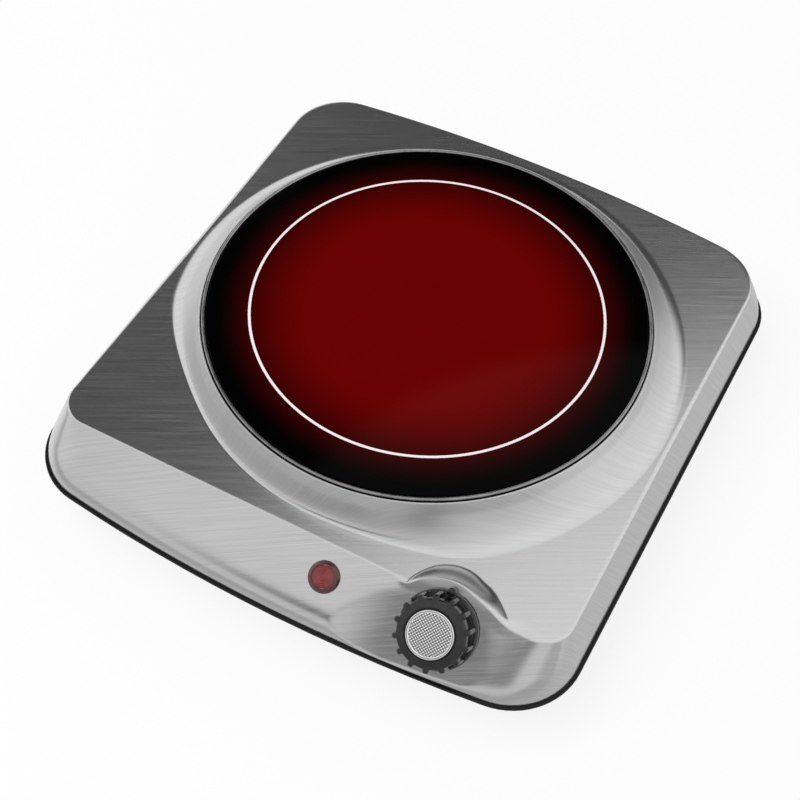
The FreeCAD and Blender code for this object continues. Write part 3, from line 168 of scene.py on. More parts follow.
block_nylon = stock_finish("block_nylon", (0.62, 0.60, 0.54), (0.74, 0.72, 0.66), 240, (0.38, 0.52), 0.00002)
paint(block_nylon, "terminal_block")
brass = stock_finish("brass_fittings", (0.58, 0.40, 0.15), (0.76, 0.56, 0.25), 300, (0.22, 0.40), 0.00001,
                     fixed={"Metallic": 1.0})
paint(brass, "terminal_clamps", "thermostat_bush", "bush_nut", "spindle", "stack_rivet")
wire_colours = {
    "live_wire": (0.17, 0.07, 0.03),
    "load_wire": (0.02, 0.02, 0.02),
    "neutral_wire": (0.03, 0.09, 0.40),
    "earth_wire": (0.10, 0.36, 0.06),
    "lamp_leads": (0.70, 0.69, 0.66),
}
for name, colour in wire_colours.items():
    darker = tuple(0.75 * part for part in colour)
    paint(stock_finish(name + "_sleeve", darker, colour, 900, (0.45, 0.62), 0.00003), name)


# Radiant heater under the glass. A pressed steel dish lined with pale fibre board, a flat spiral of heating
# ribbon on its bed, and a limiter rod in a ceramic tube that switches at the rim.

fibre_board = stock_finish("fibre_board", (0.62, 0.58, 0.50), (0.80, 0.77, 0.70), 420, (0.85, 0.97), 0.0002)
paint(fibre_board, "insulation_base", "insulation_ring")
heating_alloy = stock_finish("heating_alloy", (0.20, 0.14, 0.11), (0.42, 0.33, 0.28), 220, (0.42, 0.62),
                             0.00001, fixed={"Metallic": 1.0})
paint(heating_alloy, "heater_ribbon", "bimetal_strip")
dish_steel = stock_finish("dish_steel", (0.50, 0.50, 0.49), (0.64, 0.64, 0.62), 90, (0.30, 0.46), 0.00001,
                          fixed={"Metallic": 1.0})
paint(dish_steel, "heater_dish")
white_ceramic = stock_finish("white_ceramic", (0.72, 0.70, 0.65), (0.82, 0.80, 0.76), 260, (0.30, 0.44),
                             0.00001)
paint(white_ceramic, "limiter_rod", "limiter_head", "ceramic_spacers")
contact_silver = stock_finish("contact_silver", (0.66, 0.65, 0.62), (0.84, 0.83, 0.80), 500, (0.20, 0.34),
                              fixed={"Metallic": 1.0})
paint(contact_silver, "contact_buttons", "contact_blade", "adjusting_blade")


# Top cover. One pressing of thin brushed steel sheet; screws through the pan hold it by its legs. It turns
# down into a well for the glass, falls over a hollow boss to a flat top, and is folded at the front into a
# sloped panel, with a steeper flat round the knob and a raised pad behind it.

plate_low, plate_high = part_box("glass_plate")
cover_low, cover_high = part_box("top_cover")
pan_low, pan_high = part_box("base_pan")
glass_centre = np.array([(plate_low.x + plate_high.x) / 2, (plate_low.y + plate_high.y) / 2])
glass_radius = (plate_high.x - plate_low.x) / 2
glass_top = plate_high.z

rim_overhang = 0.0012
skirt_flare = 0.0015
side_draft = 0.0046
panel_run = 0.0246
skirt_height = 0.0060
panel_drop = 0.0145
front_bow = 0.745
back_bow = 0.710
front_corner = 0.0295
back_corner = 0.0255
front_crease_corner = 0.013
back_crease_corner = 0.024
sheet_gauge = 0.0008
lip_level = cover_low.z
bend_level = lip_level + skirt_height
plateau_level = bend_level + panel_drop
bend_reach = 0.0036
crease_radius = 0.0020

hinge = frame["joints"][0]
knob_origin = np.array(hinge["pos_m"])
knob_axis = -np.array(hinge["axis"]) / np.linalg.norm(hinge["axis"])


def axis_frame(axis):
    """Columns X, Y, Z of a frame on the panel: X level, Y up the slope and Z along the axis."""
    level = np.cross((0, 0, 1), axis)
    level = level / np.linalg.norm(level)
    return np.stack([level, np.cross(axis, level), axis], axis=1)


knob_turn = axis_frame(knob_axis)


def smooth_step(start, end, value):
    """0 up to start, 1 from end, and between them three times the share's square less twice its cube."""
    share = np.clip((value - start) / (end - start), 0, 1)
    return share * share * (3 - 2 * share)


def quadratic(start, knee, end, t):
    """The point at t on the curve that leaves start towards the knee and reaches end from it."""
    return (1 - t) ** 2 * start + 2 * t * (1 - t) * knee + t ** 2 * end


def rounded(corners, radii, steps=6):
    """A polyline with its inner corners rounded: at each, a quadratic curve that starts and ends the given
    length before and after the corner."""
    corners = np.array(corners, float)
    rows = [corners[:1]]
    for before, corner, after, reach in zip(corners, corners[1:], corners[2:], radii):
        start = corner + (before - corner) * min(reach / np.linalg.norm(before - corner), 0.49)
        end = corner + (after - corner) * min(reach / np.linalg.norm(after - corner), 0.49)
        t = np.linspace(0, 1, steps + 1)[:, None]
        rows.append(quadratic(start, corner, end, t))
    rows.append(corners[-1:])
    return np.concatenate(rows)


def skin(name, grid, loop=False):
    """A mesh over a grid of points (rows, columns, 3). Columns close round, and rows too where loop is set.
    A first or last row that has shrunk to a point becomes one pole. Faces are turned to point outwards."""
    rows, columns = grid.shape[:2]
    index = np.arange(rows * columns).reshape(rows, columns)
    for row in (0, -1):
        if not loop and np.ptp(grid[row], axis=0).max() < 1e-9:
            index[row] = index[row, 0]
    if loop:
        index = np.concatenate([index, index[:1]])
    beside = np.roll(index, -1, axis=1)
    quads = np.stack([index[:-1], beside[:-1], beside[1:], index[1:]], axis=-1).reshape(-1, 4)
    points = grid.reshape(-1, 3)
    middle = points.mean(axis=0)
    a, b, c, d = (points[quads[:, corner]] - middle for corner in range(4))
    volume = (np.einsum("ij,ij->i", a, np.cross(b, c)) + np.einsum("ij,ij->i", a, np.cross(c, d))).sum()
    if volume < 0:
        quads = quads[:, ::-1]
    used, quads = np.unique(quads, return_inverse=True)
    quads = quads.reshape(-1, 4)
    at_pole = (quads == np.roll(quads, -1, axis=1)).any(axis=1)
    faces = quads[~at_pole].tolist() + [list(dict.fromkeys(face)) for face in quads[at_pole].tolist()]
    mesh = bpy.data.meshes.new(name)
    mesh.from_pydata(points[used].tolist(), [], faces)
    mesh.shade_smooth()
    return mesh, used


def place(name, mesh, material, body, slot, *replaced):
    """Put a finished mesh into the scene as a piece that rides on a body and stands for CAD nodes."""
    piece = bpy.data.objects.new(name, mesh)
    bpy.context.scene.collection.objects.link(piece)
    mesh.materials.append(material)
    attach(piece, body)
    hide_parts(*replaced)


def corner_circle(half, edge, bow, radius, side):
    """Centre of a corner circle, one radius in from the straight side and from the bowed edge, and the angle
    at which it meets that edge."""
    across = half - radius
    if np.isinf(bow):
        return across, edge - side * radius, np.pi / 2
    rise = np.sqrt((bow - radius) ** 2 - across ** 2)
    return across, edge - side * (bow - rise), np.arctan2(rise, across)


def bowed_edge(edge, bow, tip_angle, across, side, share):
    """Points of a front or back edge from left to right: an arc of the bow's radius, or a line."""
    if np.isinf(bow):
        return np.stack([across * (2 * share - 1), edge + 0 * share], axis=-1)
    swing = (2 * share - 1) * (np.pi / 2 - tip_angle)
    return np.stack([bow * np.sin(swing), edge - side * bow * (1 - np.cos(swing))], axis=-1)


def outline(shape, stations):
    """Points round an outline of straight sides, bowed front and back and round corners. stations gives the
    shares along its eight stretches, from the front edge to the right and round."""
    half, front, back, bow_front, bow_back, corner_front, corner_back = shape
    front_x, front_y, front_tip = corner_circle(half, front, bow_front, corner_front, -1)
    back_x, back_y, back_tip = corner_circle(half, back, bow_back, corner_back, 1)

    def corner(side_x, x, y, radius, angle):
        """Points of a circle round x, y, mirrored for the left side."""
        return np.stack([side_x * (x + radius * np.cos(angle)), y + radius * np.sin(angle)], axis=-1)

    def straight(x, start, end, share):
        """Points of a line along Y."""
        return np.stack([x + 0 * share, start + (end - start) * share], axis=-1)

    s = stations
    return np.concatenate([
        bowed_edge(front, bow_front, front_tip, front_x, -1, s[0]),
        corner(1, front_x, front_y, corner_front, -front_tip * (1 - s[1])),
        straight(half, front_y, back_y, s[2]),
        corner(1, back_x, back_y, corner_back, back_tip * s[3]),
        bowed_edge(back, bow_back, back_tip, back_x, 1, 1 - s[4]),
        corner(-1, back_x, back_y, corner_back, back_tip * (1 - s[5])),
        straight(-half, back_y, front_y, s[6]),
        corner(-1, front_x, front_y, corner_front, -front_tip * s[7]),
    ])


def base_shape(inset):
    """Sizes of the pan's outline, taken in all round by the inset."""
    half = pan_high.x - inset
    edge = (pan_high.y - pan_low.y) / 2 - inset
    corners = front_corner - inset, back_corner - inset
    return half, -edge, edge, front_bow - inset, back_bow - inset, *corners


def crease_shape():
    """Sizes of the outline of the flat top: the foot of the walls pulled in by their draft, and at the front
    by the panel's run."""
    inset = rim_overhang + skirt_flare + side_draft
    half, front, back, _, bow, _, _ = base_shape(inset)
    front = front - side_draft + panel_run
    return half, front, back, np.inf, bow, front_crease_corner, back_crease_corner


fine_to_left = 0.042
fine_to_right = 0.031


def front_stations(fine, coarse):
    """Shares along the front edge, fine beside the knob and coarse elsewhere."""
    span = 2 * (crease_shape()[0] - front_crease_corner)
    fine_start = knob_origin[0] - fine_to_left
    fine_end = min(knob_origin[0] + fine_to_right, span / 2)
    left = np.arange(-span / 2, fine_start, coarse)
    middle = np.arange(fine_start, fine_end, fine)
    return (np.concatenate([left, middle]) + span / 2) / span


def even(count):
    """Equal shares of one stretch, without its end."""
    return np.arange(count) / count


side, corner = even(52), even(22)
stations = [front_stations(fine=0.0005, coarse=0.0035), corner, side, corner, side, corner, side, corner]
lip_line = outline(base_shape(rim_overhang), stations)
bend_line = outline(base_shape(rim_overhang + skirt_flare), stations)
crease_line = outline(crease_shape(), stations)


def at_level(line, level):
    """A plan line lifted to one height."""
    return np.column_stack([line, np.full(len(line), level)])


lip_points = at_level(lip_line, lip_level)
bend_points = at_level(bend_line, bend_level)
crease_points = at_level(crease_line, plateau_level)
wall = bend_points - crease_points
wall_run = np.linalg.norm(wall[:, :2], axis=1, keepdims=True)
wall_length = np.linalg.norm(wall, axis=1, keepdims=True)
outward = np.column_stack([wall[:, :2] / wall_run, np.zeros(len(wall))])
setback = crease_radius * np.tan(np.arctan2(panel_drop, wall_run) / 2)
crease_in = crease_points - outward * setback
crease_out = crease_points + wall / wall_length * setback


def soft_lower(first, second, blend):
    """The lower of two heights. Within the blend of each other they are mixed by a share, and lowered by the
    blend times that share times one minus it."""
    share = np.clip(0.5 + 0.5 * (first - second) / blend, 0, 1)
    return first + (second - first) * share - blend * share * (1 - share)


# The well, the rim and the boss, as (radius, height) from the ledge outwards
well_radius = glass_radius + 0.0020
ledge_width = 0.0095
ledge_level = plate_low.z - 0.0010
rim_top = cover_high.z
rim_land = 0.0006
step_foot = np.array([well_radius + 0.0027, plateau_level + 0.0108])
straight_share = 0.18


def boss_profile(foot, reach):
    """From the ledge up the well, over the rim and down a hollow slope: straight towards the foot, then a
    quadratic curve that ends level, at the reach past the foot."""
    foot_point = np.array([well_radius + foot, plateau_level])
    start = step_foot + (foot_point - step_foot) * straight_share
    upper = rounded([
        (well_radius - ledge_width, ledge_level),
        (well_radius, ledge_level),
        (well_radius, rim_top),
        (well_radius + rim_land, rim_top),
        step_foot,
        start,
    ], (0.0008, 0.0003, 0.0003, 0.0016), steps=7)
    t = np.linspace(0, 1, 23)[1:, None]
    return np.concatenate([upper, quadratic(start, foot_point, foot_point + (reach, 0), t)])


# The boss is broad at the sides and the back, and narrow in front, where the panel's crease comes near
broad_boss = boss_profile(foot=0.0108, reach=0.0056)
narrow_boss = boss_profile(foot=0.0048, reach=0.0028)
narrow_angle = np.radians(-107)
narrow_way = np.array([np.cos(narrow_angle), np.sin(narrow_angle)])
to_crease = crease_in[:, :2] - glass_centre
bearing = to_crease / np.linalg.norm(to_crease, axis=1)[:, None]
narrowed = smooth_step(0.55, 0.95, bearing @ narrow_way)[:, None]
boss_rows = []
for broad_point, narrow_point in zip(broad_boss, narrow_boss):
    radius, level = (broad_point + (narrow_point - broad_point) * narrowed).T
    boss_rows.append(np.column_stack([glass_centre + bearing * radius[:, None], level]))
plateau_rows = [boss_rows[-1] + (crease_in - boss_rows[-1]) * t for t in np.linspace(0, 1, 54)[1:]]
crease_rows = [quadratic(crease_in, crease_points, crease_out, t) for t in np.linspace(0, 1, 8)[1:]]
bend_start = bend_points - wall * (bend_reach / panel_drop)
bend_end = bend_points + (lip_points - bend_points) * (bend_reach / skirt_height)
panel_rows = [crease_out + (bend_start - crease_out) * t ** 1.4 for t in np.linspace(0, 1, 22)[1:]]
bend_rows = [quadratic(bend_start, bend_points, bend_end, t) for t in np.linspace(0, 1, 9)[1:]]
skirt_rows = [bend_end + (lip_points - bend_end) * t for t in (0.45, 0.85, 1.0)]
outer = np.array(boss_rows + plateau_rows + crease_rows + panel_rows + bend_rows + skirt_rows)

seat_radius = 0.0238
seat_drop = 0.0047
seat_draft = np.radians(15)
seat_hollow = 0.0048
seat_join = 0.0110
seat_ease = 0.0006
seat_ease_right = 0.0010
seat_join_span = -0.004, 0.016
seat_left = -0.0225, -0.0185
seat_right = 0.021, 0.028
flat_half = 0.015
flat_bend = 5.0
flat_ease = 0.0004
flat_ease_right = 0.0036
flat_ease_span = 0.013, 0.030
crease_from_knob = np.array([0, crease_line[:, 1].min(), plateau_level]) - knob_origin * (0, 1, 1)
knob_line = crease_from_knob @ knob_turn[:, 1]


def soft_ramp(value, ease):
    """0 up to minus the ease, the value itself from plus the ease, and between them the square of the value
    plus the ease, over four times the ease."""
    return np.where(value > ease, value, np.clip(value + ease, 0, None) ** 2 / (4 * ease))


def with_flat(points):
    """Press the front flat round the knob. Along the knob's axis the sheet is the lower of what it was and a
    plane whose sides curve up: the bend times the square of the distance past the half width."""
    local = (points - knob_origin) @ knob_turn
    x, height = local[..., 0], local[..., 2]
    plane = flat_bend * np.clip(np.abs(x) - flat_half, 0, None) ** 2
    pressed = soft_lower(height, plane, flat_ease + flat_ease_right * smooth_step(*flat_ease_span, x))
    return points + (pressed - height)[..., None] * knob_axis


def with_seat(points):
    """Raise the sheet to the pad behind the knob. Along the knob's axis the sheet is the higher of what it
    was and the pad: the flat's plane inside a circle joined to the panel, and a drafted wall with a hollow
    foot outside. Also gives the share of painted shade at each point, which darkens the wall's colour."""
    local = (points - knob_origin) @ knob_turn
    x, y, height = local[..., 0], local[..., 1], local[..., 2]
    from_circle = np.hypot(x, y + seat_drop) - seat_radius
    from_panel = y - knob_line
    right = smooth_step(*seat_join_span, x)
    outside = soft_lower(from_circle, from_panel, seat_ease + seat_join * right)
    pad = -soft_ramp(outside, seat_ease + seat_ease_right * right) / np.tan(seat_draft)
    stands = np.clip(from_panel - np.clip(outside, 0, None), 0, None)
    hollow = np.minimum(seat_hollow, 0.85 * stands) + 1e-7
    raised = -soft_lower(-height, -pad, hollow)
    near = smooth_step(-0.004, 0.0, from_panel) * smooth_step(*seat_left, x)
    near = near * (1 - smooth_step(*seat_right, x))
    lift = near * (np.maximum(raised, height) - height)
    # Painted shade: a share that darkens the colour of the pad's wall, where it rises out of the panel
    painted_wall_shade = smooth_step(0.0002, 0.0016, outside) * smooth_step(0.0001, 0.0018, lift)
    return points + lift[..., None] * knob_axis, painted_wall_shade


outer, painted_wall_shade = with_seat(with_flat(outer))
gradient_down = np.gradient(outer, axis=0)
gradient_round = (np.roll(outer, -1, axis=1) - np.roll(outer, 1, axis=1)) / 2
normal = np.cross(gradient_round, gradient_down)
normal = normal / np.linalg.norm(normal, axis=-1, keepdims=True)
normal = normal * np.sign(normal[len(boss_rows) + 10, 0, 2])
inner_rows = [row for row in range(len(outer) - 1, 1, -1) if row % 4 == 0 or row >= len(outer) - 2]
inner = outer[inner_rows] - sheet_gauge * normal[inner_rows]
inner[0] = outer[-1] - sheet_gauge * outward
cover_mesh, cover_used = skin("brushed_cover", np.concatenate([outer, inner]), loop=True)

# Where each point lay on the flat sheet: its plan, with the walls folded out to their full length
steps_down = np.linalg.norm(np.diff(outer, axis=0), axis=-1)
plan_down = np.linalg.norm(np.diff(outer[..., :2], axis=0), axis=-1)
first_fold = len(boss_rows) + len(plateau_rows)
past_fold = np.arange(len(steps_down))[:, None] >= first_fold
folded_out = np.cumsum(np.where(past_fold, steps_down - plan_down, 0), axis=0)
along_crease = np.roll(crease_line, -1, axis=0) - np.roll(crease_line, 1, axis=0)
fold_way = np.column_stack([along_crease[:, 1], -along_crease[:, 0]])
fold_way = fold_way / np.linalg.norm(fold_way, axis=1, keepdims=True)
flat = outer[..., :2].copy()
flat[1:] += folded_out[..., None] * fold_way
flat = np.concatenate([flat, flat[inner_rows]]).reshape(-1, 2)[cover_used]
brush_way = np.array([0.877, 0.479])
brush_way = brush_way / np.linalg.norm(brush_way)
sheet_place = np.column_stack([flat @ brush_way, flat @ (-brush_way[1], brush_way[0]), np.zeros(len(flat))])
layer = cover_mesh.attributes.new("sheet", "FLOAT_VECTOR", "POINT")
layer.data.foreach_set("vector", sheet_place.astype(np.float32).ravel())

# Two shares at each point: painted shade on the wall behind the knob, which darkens its colour, and how
# far the sheet was stretched on the boss, where its shine is dulled
stretched = smooth_step(0.0008, 0.0035, outer[..., 2] - plateau_level)
for name, share in (("painted_wall_shade", painted_wall_shade), ("stretched", stretched)):
    share = np.concatenate([share, share[inner_rows]]).ravel()[cover_used]
    layer = cover_mesh.attributes.new(name, "FLOAT", "POINT")
    layer.data.foreach_set("value", share.astype(np.float32))

brushed, brushed_shader, start = new_finish("brushed_steel", {"Metallic": 1.0})
sheet_at = start.node("ShaderNodeAttribute", {"attribute_name": "sheet"}, output="Vector")


def brush_lines(length, width, detail):
    """Noise pulled out along the brushing: streaks of about this length and width."""
    scale = (1 / length, 1 / width, 1)
    scaled = sheet_at.node("ShaderNodeMapping", None, {"Vector": sheet_at, "Scale": scale})
    return scaled.node("ShaderNodeTexNoise", None, {"Vector": scaled, "Scale": 1.0, "Detail": detail})


fine_lines = brush_lines(length=0.030, width=0.00022, detail=3.0)
broad_lines = brush_lines(length=0.055, width=0.0012, detail=2.0)
streaks = 0.65 * fine_lines + 0.35 * broad_lines
tone = stepped(streaks, 0.25, 0.75)
painted_wall_shade_at = start.node("ShaderNodeAttribute", {"attribute_name": "painted_wall_shade"}, output="Fac")
stretched_at = start.node("ShaderNodeAttribute", {"attribute_name": "stretched"}, output="Fac")
steel = mixed(tone, (0.58, 0.58, 0.585), (0.70, 0.70, 0.70))
# Painted shade: the wall behind the knob is darkened towards black in its colour
mixed(0.60 * painted_wall_shade_at, steel, (0.02, 0.02, 0.02)).feeds(brushed_shader, "Base Color")
(0.16 + 0.07 * tone + 0.20 * stretched_at).feeds(brushed_shader, "Roughness")
bumped(streaks, 0.000014).feeds(brushed_shader, "Normal")
place("brushed_cover", cover_mesh, brushed, "housing", "brushed_cover", "top_cover")


# Glass plate. A disc of black ceramic glass, ground flat and chamfered, bedded on a seal in the cover's
# well, with one white ring printed on it. The heater shows through it as a deep red glow that fades past the
# ring.


def lathe(name, profile, centre, turn, steps):
    """A turned piece: (radius, height) rows carried round the Z axis of a frame."""
    angle = np.linspace(0, 2 * np.pi, steps, endpoint=False)
    radius, height = profile[:, :1], profile[:, 1:]
    local = np.stack([radius * np.cos(angle), radius * np.sin(angle), height + 0 * angle], axis=-1)
    return skin(name, local @ np.asarray(turn).T + centre)[0]


upright = np.eye(3)
glass_foot = np.array([*glass_centre, 0.0])
chamfer = 0.0005
glass_profile = rounded([
    (0, plate_low.z),
    (glass_radius - chamfer, plate_low.z),
    (glass_radius, plate_low.z + chamfer),
    (glass_radius, glass_top - chamfer),
    (glass_radius - chamfer, glass_top),
    (0, glass_top),
], (0.0002, 0.0002, 0.0002, 0.0002), steps=3)
glass_mesh = lathe("ceramic_plate", glass_profile, glass_foot, upright, 288)

ceramic, ceramic_shader, start = new_finish("ceramic_glass", {
    "IOR": 1.5, "Specular IOR Level": 0.03, "Emission Strength": 1.0,
})
glass_at = start.node("ShaderNodeTexCoord", output="Object")
glass_middle = (*glass_centre, glass_top)
vector_math = "ShaderNodeVectorMath"
from_middle = glass_at.node(vector_math, {"operation": "SUBTRACT"}, {0: glass_at, 1: glass_middle})
flat_way = from_middle.node(vector_math, {"operation": "MULTIPLY"}, {0: from_middle, 1: (1, 1, 0)})
radius_at = flat_way.node(vector_math, {"operation": "LENGTH"}, {0: flat_way}, output="Value")
print_radius = 0.07215
print_half_width = 0.00055
print_edge = 0.00008
off_line = (radius_at - print_radius).math("ABSOLUTE")
printed = 1 - stepped(off_line, print_half_width - print_edge, print_half_width + print_edge)
cloud = glass_at.node("ShaderNodeTexNoise", None, {"Vector": glass_at, "Scale": 9.0, "Detail": 1.0})
glow_full, glow_end = 0.045, 0.086
glow = 1 - stepped(radius_at, glow_full, glow_end)
heat = mixed(glow, (0.0, 0.0, 0.0), (0.146, 0.0, 0.0))
heat = mixed(stepped(cloud, 0.2, 0.9) * 0.15, heat, (0.0, 0.0, 0.0))
mixed(printed, heat, (0.0, 0.0, 0.0)).feeds(ceramic_shader, "Emission Color")
mixed(printed, (0.0006, 0.0006, 0.0006), (0.86, 0.80, 0.80)).feeds(ceramic_shader, "Base Color")
(0.05 + 0.35 * printed).feeds(ceramic_shader, "Roughness")
place("ceramic_plate", glass_mesh, ceramic, "housing", "ceramic_glass", "glass_plate")


# Trim ring and gasket. A thin polished metal ring, rolled and pressed in, closes the gap round the glass.
# The seal that both lie on is moulded black silicone.

trim_inner = glass_radius + 0.00015
trim_outer = trim_inner + 0.0014
trim_profile = rounded([
    (trim_inner, plate_low.z),
    (trim_outer, plate_low.z),
    (trim_outer, glass_top - 0.0003),
    (trim_outer - 0.0004, glass_top),
    (trim_inner + 0.0004, glass_top),
    (trim_inner, glass_top - 0.0003),
    (trim_inner, plate_low.z),
], (0.0001, 0.0003, 0.0003, 0.0003, 0.0003), steps=3)
trim_mesh = lathe("polished_trim", trim_profile, glass_foot, upright, 288)
polished = stock_finish("polished_trim", (0.26, 0.26, 0.26), (0.38, 0.38, 0.38), 180, (0.24, 0.36),
                        fixed={"Metallic": 1.0})
place("polished_trim", trim_mesh, polished, "housing", "trim_metal", "glass_trim_ring")
seal_rubber = stock_finish("seal_rubber", (0.010, 0.010, 0.010), (0.018, 0.018, 0.018), 400, (0.55, 0.70),
                           0.00004)
paint(seal_rubber, "glass_gasket")


# Knob. A glossy black thermoset moulding, pushed onto the spindle and held by a clip: a round skirt, a drum
# with fourteen grip ribs, and a pointer at the skirt's edge. A bright cap with a fine knurl is pressed into
# its face.

rib_count = 14
skirt_radius = 0.0154
drum_radius = 0.0134
drum_top_radius = 0.0132
drum_foot = 0.0034
drum_height = 0.0121
knob_height = 0.0133
knob_gap = 0.0006
skirt_wall = 0.0020
skirt_lip = knob_gap + 0.0014
hollow_radius = 0.0076
hollow_roof = knob_gap + 0.0046
cap_radius = 0.0091
cap_floor = knob_height - 0.0012
cap_clearance = 0.0001
rib_reach = 0.0015
rib_half_width = 0.00112

knob_profile = rounded([
    (0.0, hollow_roof),
    (hollow_radius, hollow_roof),
    (skirt_radius - skirt_wall, skirt_lip),
    (skirt_radius - skirt_wall, knob_gap),
    (skirt_radius, knob_gap),
    (skirt_radius, skirt_lip),
    (drum_radius + rib_reach, drum_foot),
    (drum_radius, drum_foot),
    (drum_top_radius, drum_height),
    (cap_radius + 0.0010, knob_height),
    (cap_radius + cap_clearance, knob_height),
    (cap_radius + cap_clearance, cap_floor),
    (0.0, cap_floor),
], (0.0004, 0.0004, 0.0003, 0.0004, 0.0007, 0.0006, 0.0003, 0.0009, 0.0004, 0.0001, 0.0001), steps=6)
longest_step = 0.0009
dense = []
for low, high in zip(knob_profile, knob_profile[1:]):
    count = max(1, int(np.linalg.norm(high - low) / longest_step))
    dense += [low + (high - low) * step / count for step in range(count)]
knob_profile = np.array(dense + [knob_profile[-1]])
knob_angle = np.linspace(0, 2 * np.pi, rib_count * 34, endpoint=False)
pitch = 2 * np.pi / rib_count
from_rib = (np.mod(knob_angle - np.pi / 2, pitch) - pitch / 2) * drum_radius
rib_form = np.sqrt(np.clip(1 - (from_rib / rib_half_width) ** 4, 0, 1))
radius, height = knob_profile[:, :1], knob_profile[:, 1:]
on_drum = smooth_step(drum_foot - 0.0002, drum_foot + 0.0004, height)
on_drum = on_drum * (1 - smooth_step(drum_height - 0.0002, drum_height + 0.0007, height))
on_drum = on_drum * (radius > drum_top_radius - 0.0006)
ribbed = radius + rib_reach * on_drum * rib_form
knob_x, knob_y = ribbed * np.cos(knob_angle), ribbed * np.sin(knob_angle)
knob_local = np.stack([knob_x, knob_y, height + 0 * knob_angle], axis=-1)
knob_mesh, _ = skin("ribbed_knob", knob_local @ knob_turn.T + knob_origin)
moulded_gloss = {"Specular IOR Level": 0.45, "Coat Weight": 0.25, "Coat Roughness": 0.04}
knob_black = stock_finish("knob_black", (0.004, 0.004, 0.004), (0.008, 0.008, 0.008), 300, (0.10, 0.16),
                          0.00001, fixed=moulded_gloss)
place("ribbed_knob", knob_mesh, knob_black, "knob", "knob_black", "knob_body")

pointer_radius = 0.0017
pointer_top = knob_gap + 0.0036
pointer_profile = rounded([
    (0.0, knob_gap),
    (pointer_radius, knob_gap),
    (pointer_radius, pointer_top),
    (0.0, pointer_top + 0.0003),
], (0.0002, 0.0008), steps=6)
pointer_foot = knob_origin + knob_turn @ (0, skirt_radius, 0)
pointer_mesh = lathe("knob_pointer", pointer_profile, pointer_foot, knob_turn, 40)
place("knob_pointer", pointer_mesh, knob_black, "knob", "knob_black", "knob_body")

# The cap's face: a polar grid, raised into small pyramids inside a plain rolled rim
knurl_pitch = 0.00095
knurl_turn = 0.9
knurl_height = 0.00026
dome_height = 0.00020
cap_face = knob_height + 0.00025
rim_width = 0.0009
rim_face = cap_face + 0.00035
field_radius = np.linspace(0, cap_radius - rim_width, 84)
cap_edge = rounded([
    (cap_radius - rim_width, cap_face),
    (cap_radius - rim_width, rim_face),
    (cap_radius, rim_face),
    (cap_radius, cap_floor),
    (0.0, cap_floor),
], (0.0002, 0.0003, 0.0001), steps=5)[1:]
cap_angle = np.linspace(0, 2 * np.pi, 360, endpoint=False)
field_x = field_radius[:, None] * np.cos(cap_angle)
field_y = field_radius[:, None] * np.sin(cap_angle)
along = (field_x * np.cos(knurl_turn) + field_y * np.sin(knurl_turn)) / knurl_pitch
across = (field_y * np.cos(knurl_turn) - field_x * np.sin(knurl_turn)) / knurl_pitch
pyramid = 1 - 2 * np.maximum(np.abs(along % 1 - 0.5), np.abs(across % 1 - 0.5))
fade = 1 - smooth_step(cap_radius - rim_width - 0.0003, cap_radius - rim_width, field_radius)[:, None]
dome = dome_height * (1 - (field_radius / cap_radius) ** 2)[:, None]
field = np.stack([field_x, field_y, cap_face + dome + knurl_height * pyramid * fade], axis=-1)
edge_radius, edge_height = cap_edge[:, :1], cap_edge[:, 1:]
edge_x, edge_y = edge_radius * np.cos(cap_angle), edge_radius * np.sin(cap_angle)
edge = np.stack([edge_x, edge_y, edge_height + 0 * cap_angle], axis=-1)
field[0] = field[0, 0]
cap_mesh, cap_used = skin("knurled_cap", np.concatenate([field, edge]) @ knob_turn.T + knob_origin)
relief = np.concatenate([pyramid * fade + 1 - fade, np.ones(edge.shape[:2])]).ravel()[cap_used]
layer = cap_mesh.attributes.new("relief", "FLOAT", "POINT")
layer.data.foreach_set("value", relief.astype(np.float32))
cap_metal, cap_shader, start = new_finish("cap_metal", {"Metallic": 1.0})
relief_at = start.node("ShaderNodeAttribute", {"attribute_name": "relief"}, output="Fac")
# Painted shade: the knurl's valleys are near black and its peaks near white in colour, as if the valleys lay
# in shade
mixed(stepped(relief_at, 0.05, 0.60), (0.08, 0.08, 0.08), (0.97, 0.97, 0.97)).feeds(cap_shader, "Base Color")
(0.26 - 0.10 * relief_at).feeds(cap_shader, "Roughness")
place("knurled_cap", cap_mesh, cap_metal, "knob", "cap_metal", "knob_cap")


# Pilot lamp. A lamp of red-brown clear plastic, held behind the panel by a clip: a sloped bezel, and a lens
# with fine rings moulded into its face. A neon bulb sits behind it.

lamp_low, lamp_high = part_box("lamp_lens")
lamp_x = (lamp_low.x + lamp_high.x) / 2
lamp_line = 0.0124


def panel_place(x):
    """Point and outward normal of the sloped panel at x: down the slope from the crease by the lamp's line,
    and square to the slope and to the panel's bow."""
    bow = front_bow - rim_overhang - skirt_flare
    fall = np.sqrt(bow ** 2 - x ** 2)
    crease = np.array([x, crease_line[:, 1].min(), plateau_level])
    foot = np.array([x, bend_line[:, 1].min() + bow - fall, bend_level])
    slope = foot - crease
    share = lamp_line / np.linalg.norm(slope)
    out = np.cross(slope, (1, share * x / fall, 0))
    return crease + slope * share, out / np.linalg.norm(out)


